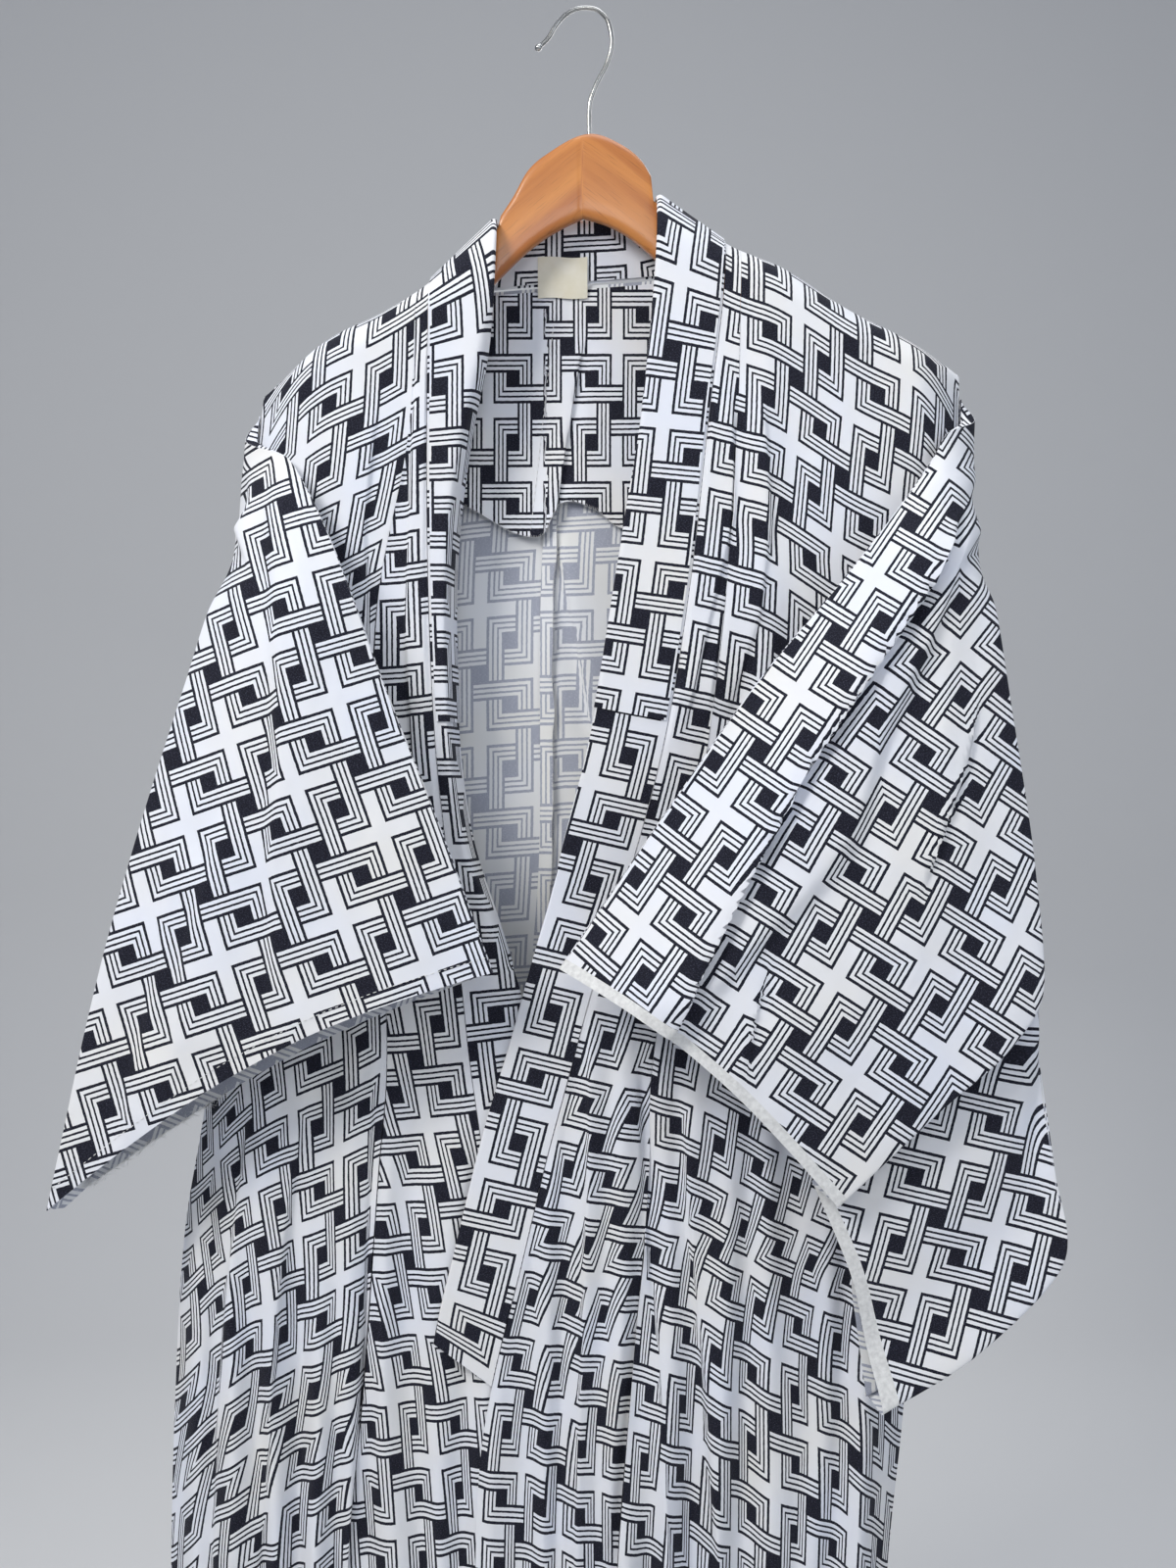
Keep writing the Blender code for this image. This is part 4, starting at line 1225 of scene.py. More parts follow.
@dataclass
class Drape:
    """The hanging body's form, shared by every panel."""

    seam: float = 0.0003
    depth: float = 0.030
    top_round: float = 0.030
    side_round: float = 0.045
    armhole_down: float = 0.70
    armhole_gape: float = 0.012
    front_lift: float = 0.007
    lift_run: float = 0.08
    lift_down: float = 0.74
    hem_down: float = 1.58
    collar_end_down: float = 1.136
    ripple: float = 0.0018

    def edge_x(self, table: Sequence[Sides], side: Side, z: float) -> float:
        """Place across of a vertical line."""
        return read(table, side.label, -z)

    def ridge_z(self, x: float) -> float:
        """Top of the cloth over the hanger."""
        return read(RIDGE, "z", x)

    def neck_z(self, x: float) -> float:
        """Top edge of the back panels.

        Args:
            x: place across, metres.

        Returns:
            Height in metres.
        """
        if NECK[0].x * CM < x < NECK[-1].x * CM:
            return min(self.ridge_z(x), read(NECK, "z", x))
        return self.ridge_z(x)

    def gape(self, side: Side, z: float) -> float:
        """How far each body edge stands from the middle along the armhole.

        Args:
            side: which half of the body.
            z: height, metres.

        Returns:
            The distance in metres.
        """
        top = self.ridge_z(self.edge_x(SIDE_SEAM, side, z))
        share = (top - z) / (self.armhole_down + top)
        return self.armhole_gape * math.sin(math.pi * share) if 0 < share < 1 else 0.0

    def half_depth(self, x: float, z: float) -> float:
        """Half the body's thickness, front to back.

        Args:
            x: place across, metres.
            z: height, metres.

        Returns:
            The distance from the middle plane, in metres.
        """
        side = Side.RIGHT if x < 0 else Side.LEFT
        top = bulge((self.ridge_z(x) - z) / self.top_round)
        gape = self.gape(side, z)
        beside = (self.edge_x(SIDE_SEAM, side, z) - x) * side.value / self.side_round
        rim = 1 - (1 - min(max(beside, 0.0), 1.0)) ** 2
        return top * (gape + (self.depth - gape) * rim)

    def folds(self, table: Sequence[Fold], side: Side, x: float, z: float) -> float:
        """Height of the soft vertical folds.

        Args:
            table: the front's folds or the back's.
            side: which half of the body.
            x: place across, metres.
            z: height, metres.

        Returns:
            Height out of the panel, in metres.
        """
        down, height = -z / CM, 0.0
        for fold in table:
            if fold.side is not side:
                continue
            share = min(max((down - fold.starts) / (self.hem_down / CM - fold.starts), 0), 1)
            near = math.exp(-(((x / CM - mix(fold.x_top, fold.x_hem, share)) / fold.width) ** 2))
            height += fold.depth * CM * near * ramp((down - fold.starts) / (fold.full - fold.starts))
        return height * ramp((self.edge_x(SIDE_SEAM, side, z) - x) * side.value / 0.03)

    def waver(self, x: float, z: float, seed: float) -> float:
        """Slow unevenness of worn cloth.

        Args:
            x: place across, metres.
            z: height, metres.
            seed: place in the noise, so that panels differ.

        Returns:
            Height in metres.
        """
        slow = noise.noise(Vector((x * 16, seed, z * 6)))
        quick = noise.noise(Vector((x * 45, seed + 7, z * 20)))
        small = noise.noise(Vector((x * 120, seed + 3, z * 80)))
        return self.ripple * (slow + 0.4 * quick + 0.13 * small)

    def front_y(self, side: Side, x: float, z: float) -> float:
        """Outside of the front panels.

        Args:
            side: which half of the body.
            x: place across, metres.
            z: height, metres.

        Returns:
            Place from front to back, in metres.
        """
        y = self.half_depth(x, z) + self.folds(FRONT_FOLDS, side, x, z) + self.seam / 2
        if side is Side.LEFT:
            crossing = ramp((self.lift_run - x) / self.lift_run)
            y += self.front_lift * crossing * ramp((-z - self.lift_down) / self.lift_run)
        return -y

    def back_y(self, side: Side, x: float, z: float) -> float:
        """Outside of the back panels."""
        return self.half_depth(x, z) + self.folds(BACK_FOLDS, side, x, z) + self.seam / 2

    def top_of(self, x_at: Callable, top_z: Callable, share: float) -> float:
        """Where a panel's vertical line meets its top edge.

        Args:
            x_at: gives the line's place across by share and height.
            top_z: gives the edge's height by the place across.
            share: which line, from 0 to 1 across the panel.

        Returns:
            Height in metres.
        """
        z = -0.3
        for _ in range(30):
            z = mix(z, top_z(x_at(share, z)), 0.7)
        return z


@dataclass(frozen=True)
class Gathers:
    """Upright folds that take up the width of the body's cloth."""

    pitch: float = 0.036
    depth: float = 0.0042
    take: float = 0.55
    starts: float = 0.72
    full: float = 1.15

    def amount(self, z: ARRAY) -> ARRAY:
        """How strong the folds are at a height."""
        return ramps((-z - self.starts) / (self.full - self.starts))

    def phase(self, x: ARRAY, z: ARRAY) -> ARRAY:
        """Angle of the folds' wave, made uneven by slow noise.

        Args:
            x: places across, metres.
            z: heights, metres.

        Returns:
            An angle for each point, in radians.
        """
        flat = zip(x.ravel(), z.ravel())
        drift = [
            0.9 * noise.noise(Vector((a * 7, 4.1, b * 1.3)))
            + 0.4 * noise.noise(Vector((a * 22, 9.3, b * 3.0)))
            for a, b in flat
        ]
        return 2 * math.pi * (x / self.pitch + np.array(drift).reshape(x.shape))

    def field(self, x: ARRAY, z: ARRAY) -> tuple[ARRAY, ARRAY]:
        """Height of the folds, and the cloth hidden in them up to each point.

        Args:
            x: places across, metres.
            z: heights, metres.

        Returns:
            The height and the hidden cloth, in metres.
        """
        phase, amount = self.phase(x, z), self.amount(z)
        wave = self.pitch / (2 * math.pi) * 0.9 * np.sin(phase)
        return self.depth * amount * np.cos(phase), self.take * amount * (x - wave)


@dataclass
class BodyPanel:
    """One straight width of cloth of the body."""

    node: str
    side: Side
    drape: Drape
    depth_of: Callable
    x_at: Callable
    top_z: Callable
    outward: int
    columns: int
    rows: int = 230
    wall: float = 0.0008
    origin: tuple[float, float] = (0.0, 0.0)
    flat: tuple[float, float] = (0.155, 1.35)
    laps: Sequence[Lap] = ()
    calm_start: bool = False
    gathers: Gathers = Gathers()

    def grid(self) -> ARRAY:
        """Points of the panel's smooth outside, from the top edge to the hem.

        Returns:
            Points, rows by columns.
        """
        lines = []
        for c in range(self.columns + 1):
            share = c / self.columns
            top = self.drape.top_of(self.x_at, self.top_z, share)
            line = []
            for r in range(self.rows + 1):
                step = (r / self.rows) ** 1.5
                z = mix(top, -self.drape.hem_down, step)
                x = self.x_at(share, z)
                line.append((x, self.depth_of(x, z), z))
            lines.append(line)
        return np.array(lines).transpose(1, 0, 2)

    def build(self, finishes: Finishes) -> bpy.types.Object:
        """Builds the panel and puts it in place of its node.

        Args:
            finishes: the materials.

        Returns:
            The piece.
        """
        grid = self.grid()
        x, z = grid[..., 0].copy(), grid[..., 2].copy()
        fold, fold_take = self.gathers.field(x, z)
        lap, lap_take, shift = lap_field(self.laps, x, z)
        waver = [self.drape.waver(a, b, self.outward * 3.0) for a, b in zip(x.flat, z.flat)]
        share = np.linspace(0, 1, self.columns + 1)[None, :]
        calm = ramps((z[:1] - z) / 0.05) * ramps((1 - share) / 0.12)
        calm *= ramps(share / 0.12) if self.calm_start else 1.0
        relief = fold + lap + np.array(waver).reshape(x.shape)
        hidden = fold_take + lap_take
        across = arc_length(grid, 1) * self.side.value + hidden - hidden[:, :1]
        grid[..., 1] += self.outward * calm * relief
        grid[..., 0] += calm * shift
        uv = np.stack([across + self.origin[0], self.origin[1] - arc_length(grid, 0)], axis=-1)
        turn = 1 if (self.side is Side.RIGHT) == (self.outward < 0) else -1
        piece = cloth_mesh(f"cloth_{self.node}", grid, uv, self.wall, turn)
        finishes.dress(piece, finishes.outside, finishes.reverse, finishes.outside)
        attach(piece, "root")
        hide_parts(self.node)
        return piece


@dataclass
class Body:
    """Fronts, overlaps and backs."""

    drape: Drape

    def build(self, finishes: Finishes) -> list[bpy.types.Object]:
        """Builds the six panels.

        Args:
            finishes: the materials.

        Returns:
            The pieces.
        """
        pieces = []
        for side in Side:
            pieces += [self.front(side, finishes), self.overlap(side, finishes)]
            pieces.append(self.back(side, finishes))
        return pieces

    def front(self, side: Side, finishes: Finishes) -> bpy.types.Object:
        """The front width, from the overlap's seam to the side.

        Args:
            side: which half of the body.
            finishes: the materials.

        Returns:
            The piece.
        """
        drape = self.drape
        return BodyPanel(
            f"front_{side.label}", side, drape,
            lambda x, z: drape.front_y(side, x, z),
            lambda share, z: mix(
                drape.edge_x(OVERLAP_SEAM, side, z) + side.value * drape.seam / 2,
                drape.edge_x(SIDE_SEAM, side, z), share,
            ),
            drape.ridge_z, -1, 90, laps=FRONT_LAPS,
        ).build(finishes)

    def overlap(self, side: Side, finishes: Finishes) -> bpy.types.Object:
        """The narrow overlap, from the collar to the front's seam.

        Args:
            side: which half of the body.
            finishes: the materials.

        Returns:
            The piece.
        """
        drape = self.drape
        return BodyPanel(
            f"overlap_{side.label}", side, drape,
            lambda x, z: drape.front_y(side, x, z),
            lambda share, z: mix(
                drape.edge_x(COLLAR_SEAM, side, z),
                drape.edge_x(OVERLAP_SEAM, side, z) - side.value * drape.seam / 2, share,
            ),
            drape.ridge_z, -1, 50, flat=(0.080, 1.35), laps=FRONT_LAPS, calm_start=True,
        ).build(finishes)

    def back(self, side: Side, finishes: Finishes) -> bpy.types.Object:
        """The back width, from the centre seam to the side.

        Args:
            side: which half of the body.
            finishes: the materials.

        Returns:
            The piece.
        """
        drape = self.drape
        return BodyPanel(
            f"back_{side.label}", side, drape,
            lambda x, z: drape.back_y(side, x, z),
            lambda share, z: mix(
                read(BACK_SEAM, "z", -z) + side.value * drape.seam / 2,
                drape.edge_x(SIDE_SEAM, side, z), share,
            ),
            drape.neck_z, 1, 80, rows=170, flat=(0.300, 1.38), laps=BACK_LAPS,
        ).build(finishes)


class Station(NamedTuple):
    """A place on the collar's seam."""

    seam: Vector
    reach: Vector
    turned: float
    down: float


@dataclass
class Collar:
    """The folded neck band and the over-collar that covers its upper part."""

    drape: Drape
    wall: float = 0.003
    cover_wall: float = 0.001
    width: float = 0.056
    cover_end_down: float = 0.60
    neck_gap: float = 0.0018
    cover_start: float = 0.002
    cloth: float = 0.0015
    skin: float = 0.0008
    front_steps: int = 149
    back_steps: int = 60
    around: int = 45
    turned_from: float = 0.26
    turned_to: float = 0.80
    cover_print: tuple[float, float] = (0.017, 0.023)
    flats: dict[str, tuple[float, float]] = field(
        default_factory=lambda: {"collar": (0.118, 2.20), "over_collar": (0.122, 1.10)}
    )

    def front_stations(self, side: Side) -> list[Station]:
        """Stations up one front edge.

        Args:
            side: which half of the body.

        Returns:
            Stations from the collar's lower end to the shoulder.
        """
        drape = self.drape
        top = drape.top_of(lambda _, z: drape.edge_x(COLLAR_SEAM, side, z), drape.ridge_z, 0)
        stations = []
        for i in range(self.front_steps + 1):
            z = mix(-drape.collar_end_down, top - 0.002, i / self.front_steps)
            x = drape.edge_x(COLLAR_SEAM, side, z)
            across = read(COLLAR_BAND, f"{side.label}_reach", -z)
            rise = read(COLLAR_BAND, f"{side.label}_rise", -z)
            reach = Vector((-side.value * across, 0, rise))
            turned_in = side is Side.RIGHT and self.turned_from < -z < self.turned_to
            turned = max(0.0, self.width - reach.length) if turned_in else 0.0
            stations.append(Station(Vector((x, drape.front_y(side, x, z), z)), reach, turned, -z))
        return stations

    def back_stations(self) -> list[Station]:
        """Stations round the back of the neck.

        Returns:
            Stations from the wearer's right shoulder to the left one.
        """
        drape, stations = self.drape, []
        first, last = BACK_BAND[0].x * CM, BACK_BAND[-1].x * CM
        for i in range(self.back_steps + 1):
            x = mix(first, last, i / self.back_steps)
            z = drape.neck_z(x)
            ends = min(x - first, last - x)
            side = Side.RIGHT if x < 0 else Side.LEFT
            y = drape.back_y(side, x, z) * ramp(ends / 0.004)
            across, lean, rise = (read(BACK_BAND, name, x) for name in ("reach", "lean", "rise"))
            reach = Vector((across, -lean, rise))
            stations.append(Station(Vector((x, y, z)), reach, 0.0, 0.0))
        return stations

    def stations(self) -> list[Station]:
        """All round the neck, from the right front's end to the left front's."""
        left = list(reversed(self.front_stations(Side.LEFT)))
        return self.front_stations(Side.RIGHT) + self.back_stations() + left

    def section(self, stations: Sequence[Station], i: int) -> tuple[list[Vector], list[Vector]]:
        """Middle line of the folded band at a station, and the way out at each point.

        Args:
            stations: all the stations.
            i: which of them.

        Returns:
            Four points from the seam to the folded edge, and a way out at each.
        """
        here = stations[i]
        before, after = stations[max(i - 3, 0)], stations[min(i + 3, len(stations) - 1)]
        run = (after.seam - before.seam).normalized()
        up = here.reach.normalized()
        out = up.cross(run).normalized()
        start = here.seam - out * self.cloth / 2
        start = start + up * (self.drape.seam * 2 if here.down else self.neck_gap)
        crest = here.reach.length - 0.006
        points = [
            start,
            start + up * crest * 0.5,
            start + up * crest,
            start + up * here.reach.length - out * here.turned,
        ]
        corner = (points[3] - points[2]).normalized()
        side_out = corner.cross(up.cross(out)).normalized()
        if side_out.dot(out) + side_out.dot(up) < 0:
            side_out = -side_out
        middle = (out + side_out).normalized()
        return points, [out, out, middle, side_out]

    def loop(self, points: Sequence[Vector], outs: Sequence[Vector], reach: float) -> list[Vector]:
        """A ring round the middle line, rounded at the folded edge.

        Args:
            points: the middle line.
            outs: the way out at each of its points.
            reach: distance from the middle line to the surface.

        Returns:
            The ring's points.
        """
        front = [p + n * reach for p, n in zip(points, outs)]
        rear = [p - n * reach for p, n in reversed(list(zip(points, outs)))]
        tip = (points[3] - points[2]).normalized()
        nose = [points[3] + tip * reach * 0.7 + outs[3] * reach * 0.7 * s for s in (1, 0, -1)]
        nose[1] = points[3] + tip * reach
        return front + nose + rear

    def build(self, finishes: Finishes) -> list[bpy.types.Object]:
        """Builds the band and its cover.

        Args:
            finishes: the materials.

        Returns:
            The pieces.
        """
        stations = self.stations()
        bands = []
        for name, reach, covers in (
            ("collar", self.wall / 2, False),
            ("over_collar", self.wall / 2 + 1.5 * self.drape.seam + self.cover_wall, True),
        ):
            rings, run, travelled = [], [], 0.0
            previous = None
            for i, station in enumerate(stations):
                if previous is not None:
                    travelled += (station.seam - previous).length
                previous = station.seam
                if covers and station.down > self.cover_end_down:
                    continue
                points, outs = self.section(stations, i)
                if covers:
                    up = (points[1] - points[0]).normalized()
                    points[0] = points[0] + up * self.cover_start
                rings.append([list(p) for p in self.loop(points, outs, reach)])
                run.append(travelled)
            bands.append(self.band(name, np.array(rings), np.array(run), finishes))
        return bands

    def band(self, name: str, rings: ARRAY, run: ARRAY, finishes: Finishes) -> bpy.types.Object:
        """A piece through the rings, with the print along its length.

        Args:
            name: the node that the piece takes the place of.
            rings: points, rings by places round the band.
            run: length along the seam at each ring.
            finishes: the materials.

        Returns:
            The piece.
        """
        stops = range(rings.shape[1])
        places = np.linspace(0, rings.shape[1] - 1, self.around)
        fine = smooth_through(rings.transpose(1, 0, 2), list(stops), places).transpose(1, 0, 2)
        around = arc_length(fine, 1)
        along = np.repeat(-run[:, None], fine.shape[1], axis=1)
        if name == "over_collar":
            around, along = around + self.cover_print[0], along + self.cover_print[1]
        uv = np.stack([around, along], axis=-1)
        piece = cloth_mesh(f"cloth_{name}", fine, uv, self.skin, 1)
        finishes.dress(piece, finishes.outside, finishes.reverse, finishes.outside)
        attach(piece, "root")
        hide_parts(name)
        return piece


@dataclass
class Sleeve:
    """A wide sleeve folded forward across the front, its cuff open."""

    side: Side
    drape: Drape
    nose: float = 0.003
    clear: float = 0.008
    face_points: int = 8
    hidden_points: int = 8
    inner_points: int = 7
    wall: float = 0.0008
    laps: Sequence[Lap] = ()
    flat: tuple[float, float] = (0.32, 0.82)
    span: int = 16
    rows: int = 120
    frayed_from: int = 16
    frayed_to: int = 18
    print_angle: float = 0.0
    hidden_print_angle: float = 0.0
    tucked_from: float = 1.1
    strip_lean: float = 25.0
    spacing: Sequence[float] = (
        0.0, 0.05, 0.11, 0.18, 0.27, 0.37, 0.48, 0.58, 0.68, 0.79, 0.9, 1.0,
    )

    def point(self, table: Sequence[Line], t: float) -> Vector:
        """A point of one of the sleeve's lines."""
        return Vector((read(table, "x", t), read(table, "y", t), read(table, "z", t)))

    def clear_of_body(self, point: Vector, away: float) -> Vector:
        """Keeps a point in front of the front panel.

        Args:
            point: the point.
            away: least distance in front of the panel.

        Returns:
            The point, moved forward where it was too near.
        """
        side = self.side
        beside = (self.drape.edge_x(SIDE_SEAM, side, point.z) - point.x) * side.value
        if point.z > self.drape.ridge_z(point.x):
            return point
        front = min(point.y, self.drape.front_y(side, point.x, point.z) - away)
        return Vector((point.x, mix(point.y, front, ramp((beside + 0.014) / 0.014)), point.z))

    def slid(self, points: Sequence[Vector], evenly: float) -> list[Vector]:
        """Points moved along their line, from their own places (0) to even spacing (1).

        Args:
            points: the line's points.
            evenly: how even the new spacing is.

        Returns:
            As many points as were given.
        """
        lengths = [0.0]
        for a, b in zip(points, points[1:]):
            lengths.append(lengths[-1] + (b - a).length)
        last = len(points) - 1
        moved = []
        for i in range(last + 1):
            at = mix(lengths[i], lengths[-1] * i / last, evenly)
            j = min(bisect_right(lengths, at) - 1, last - 1)
            share = (at - lengths[j]) / (lengths[j + 1] - lengths[j])
            moved.append(points[j].lerp(points[j + 1], share))
        return moved

    def ring(self, t: float) -> list[Vector]:
        """One ring: over the visible face, round behind it, and back next to the body.

        Args:
            t: how far the ring is from the armhole (0) to the cuff (1).

        Returns:
            The ring's points.
        """
        right = self.side is Side.RIGHT
        tables = (
            (RIGHT_FOLD, RIGHT_EDGE, RIGHT_CORNER, RIGHT_UNDER)
            if right
            else (LEFT_FOLD, LEFT_EDGE, LEFT_CORNER, LEFT_UNDER)
        )
        fold, edge, corner, under = (self.point(table, t) for table in tables)
        full = ramp(t / 0.45)
        tuck = 0.0 if right else ramp((t - 0.52) / 0.12)
        roll = math.pi * ramp(t / 0.12)
        nose = Vector((0, math.cos(roll), math.sin(roll))) * self.nose
        pleat = mix(0.75, 0.38, ramp((t - 0.1) / 0.4))
        face = [fold + nose]
        for share in sorted((0.12, 0.25, pleat, pleat + 0.05, 0.62, 0.82)):
            point = fold.lerp(edge, share)
            point.y -= 0.022 * math.sin(math.pi * share**0.8) * full
            if not right:
                lap = 1 - ramp((share - pleat) / 0.05)
                point.y -= 0.008 * lap * math.sin(math.pi / 2 * min(share * 3, 1)) * full
            arch = 0.030 if right else 0.022
            point.z += arch * math.sin(math.pi * share) * ramp((t - 0.6) / 0.4)
            face.append(point)
        face.append(edge + Vector((0, -self.nose, 0)))
        inward = (fold - edge).normalized() * 0.022 * tuck
        hidden = [edge + Vector((0, self.nose, 0))]
        hidden.append(edge + Vector((0, 0.006 + 0.003 * tuck, 0)) + inward)
        hidden.append(edge + Vector((0, 0.009 + 0.007 * tuck, 0)) + inward)
        for share in (0.35, 0.7):
            point = edge.lerp(corner, share)
            point.y += 0.014 * mix(1 - t, 1.0, tuck)
            hidden.append(point)
        hidden.append(corner)
        hidden.append(corner.lerp(under, 0.55) + Vector((0, 0.004, 0)))
        hidden.append(under + Vector((0, self.nose, 0)))
        inner = [under + Vector((0, -self.nose, 0))]
        tucked = Vector((edge.x + 0.004, 0, edge.z + 0.016))
        for share in (0.17, 0.36, 0.55, 0.74, 0.9):
            point = under.lerp(fold, share)
            point.y -= self.drape.armhole_gape * (1 - ramp(t / 0.3)) * math.sin(math.pi * share)
            if right:
                point.z += 0.018 * math.sin(math.pi * share) * ramp((t - 0.6) / 0.4)
            else:
                low = under.lerp(tucked, share / 0.4)
                high = tucked.lerp(fold, max(share - 0.4, 0) / 0.6)
                high.z += 0.022 * math.sin(math.pi * max(share - 0.4, 0) / 0.6)
                near_cuff = ramp((t - 0.6) / 0.4)
                target = low if share < 0.4 else high
                point.x = mix(point.x, target.x, near_cuff)
                point.z = mix(point.z, target.z, near_cuff)
            inner.append(point)
        inner.append(fold - nose)
        evenly = 1 - ramp((t - 0.04) / 0.26)
        ring = self.slid(face + hidden, evenly) + self.slid(inner, evenly)
        near = ramp(t / 0.08)
        behind = self.face_points + self.hidden_points
        cleared = []
        for i, point in enumerate(ring):
            if i < self.face_points:
                point = self.clear_of_body(point, (self.clear + 2 * self.nose) * near)
            elif i >= behind:
                point = self.clear_of_body(point, self.clear * near)
            cleared.append(point)
        return cleared

    def armhole_rings(self, ring: Sequence[Vector], beyond: Sequence[Vector]) -> tuple[list, list]:
        """The first two rings, which carry the cloth round outside the body's edge.

        Args:
            ring: the plain ring at the armhole.
            beyond: the third ring.

        Returns:
            The first ring and the second.
        """
        side, drape = self.side, self.drape
        top, bottom = ring[0].z, min(point.z for point in ring)
        behind = self.face_points + self.hidden_points
        first, second = [], []
        for i in range(len(ring)):
            share = i / (behind - 1) if i < behind else 1 - (i - behind) / (self.inner_points - 1)
            z = mix(top, bottom, share)
            gape = max(drape.gape(side, z), self.nose)
            x = drape.edge_x(SIDE_SEAM, side, z)
            y = gape if i < behind else -gape
            turning = i in (0, behind - 1, behind, len(ring) - 1)
            first.append(Vector((x + side.value * (0.0020 if turning else 0.0008), y, z)))
            out = first[-1].lerp(beyond[i], 0.5)
            if i < behind:
                outside = 0.003 + 0.010 * (1 - ramp((i - 5) / 8))
                out.x = side.value * max(side.value * out.x, side.value * x + outside)
                out.y = mix(y, beyond[i].y, mix(0.2, 0.5, ramp((i - 5) / 5)))
            else:
                out.x = x + side.value * 0.0030
                out.y = y - 0.004
            second.append(out)
        return first, second

    def grid(self) -> ARRAY:
        """A smooth surface through the rings.

        Returns:
            Points, rings by places round the sleeve.
        """
        spacing = self.spacing
        rings = [self.ring(t) for t in spacing]
        rings[:2] = self.armhole_rings(rings[0], rings[2])
        control = np.array([[list(p) for p in ring] for ring in rings])
        rows = smooth_through(control, spacing, np.linspace(0, 1, self.rows))
        around = control.shape[1]
        wrapped = np.concatenate([rows, rows[:, :1]], axis=1).transpose(1, 0, 2)
        places = np.linspace(0, around, around * self.span + 1)[:-1]
        return smooth_through(wrapped, list(range(around + 1)), places).transpose(1, 0, 2)

    def print_map(self, grid: ARRAY, hidden: ARRAY) -> ARRAY:
        """Places of the print: one flat chart each for the face, the strip behind its edge, the
        layer next to the body and, on the wearer's left, the cloth tucked behind at the cuff.

        Args:
            grid: the sleeve's points.
            hidden: cloth hidden in the laps up to each point.

        Returns:
            A place in metres for each point.
        """
        rows, columns = grid.shape[:2]
        column = np.arange(columns)[None, :]
        t = np.linspace(0, 1, rows)[:, None]
        behind = column > self.span * (self.face_points - 0.5)
        inner = column > self.span * (self.face_points + self.hidden_points - 0.5)
        tucked = behind & (t > self.tucked_from)
        x, y, z = grid[..., 0], grid[..., 1], grid[..., 2]
        steps = np.linalg.norm(np.diff(grid[..., :2], axis=1), axis=-1)
        run = np.concatenate([np.zeros((rows, 1)), np.cumsum(steps, axis=1)], axis=1)
        unrolled = grid[:, :1, 0] + self.side.value * run + hidden
        lean = math.radians(self.strip_lean)
        strip = self.side.value * y * math.cos(lean) - x * math.sin(lean)
        across = np.where(behind & ~tucked, np.where(inner, -x, strip), unrolled)
        angle = np.radians(np.where(tucked, self.hidden_print_angle, self.print_angle))
        u = across * np.cos(angle) + z * np.sin(angle)
        v = z * np.cos(angle) - across * np.sin(angle)
        return np.stack([u, v], axis=-1)

    def build(self, finishes: Finishes) -> list[bpy.types.Object]:
        """Builds the sleeve and puts it in place of its node.

        Args:
            finishes: the materials.

        Returns:
            The sleeve, then its stitches and loose threads.
        """
        grid = self.grid()
        rows, columns = grid.shape[:2]
        face = self.span * (self.face_points - 1)
        share = np.arange(columns)[None, :] / face
        t = np.linspace(0, 1, rows)[:, None]
        x, z = grid[..., 0].copy(), grid[..., 2].copy()
        lap, hidden, shift = lap_field(self.laps, x, z)
        waver = [self.drape.waver(a, b, 11.0) for a, b in zip(x.flat, z.flat)]
        calm = ramps((t - 0.05) / 0.15) * ramps(share / 0.08) * ramps((1 - share) / 0.08)
        uv = self.print_map(grid, hidden)
        grid[..., 1] -= calm * (lap + 1.6 * np.array(waver).reshape(x.shape))
        grid[..., 0] += calm * shift
        hem = 2 if self.side is Side.LEFT else 0
        name = f"cloth_sleeve_{self.side.label}"
        piece = cloth_mesh(name, grid, uv, self.wall, -self.side.value, True, hem)
        finishes.dress(
            piece, finishes.outside, finishes.reverse, finishes.outside, finishes.thread
        )
        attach(piece, "root")
        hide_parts(f"sleeve_{self.side.label}")
        out = grid_normals(grid, True)[-4, :face] * 0.0004
        seam = Threads(0.0034, 0.00035, 0.04, 0.0, self.side.value + 5)
        line, way = beads(grid[-4, :face] + out, 0.0052)
        pieces = [piece, seam.lay(f"stitches_cuff_{self.side.label}", line, way, finishes.thread)]
        if self.side is Side.RIGHT:
            first, last = self.span * self.frayed_from, self.span * self.frayed_to
            line, way = beads(grid[-1, first:last], 0.0007)
            loose = Threads(0.016, 0.00014, 0.8, 0.005, 9)
            pieces.append(loose.lay("fray_cuff_right", line, way, finishes.thread))
        return pieces


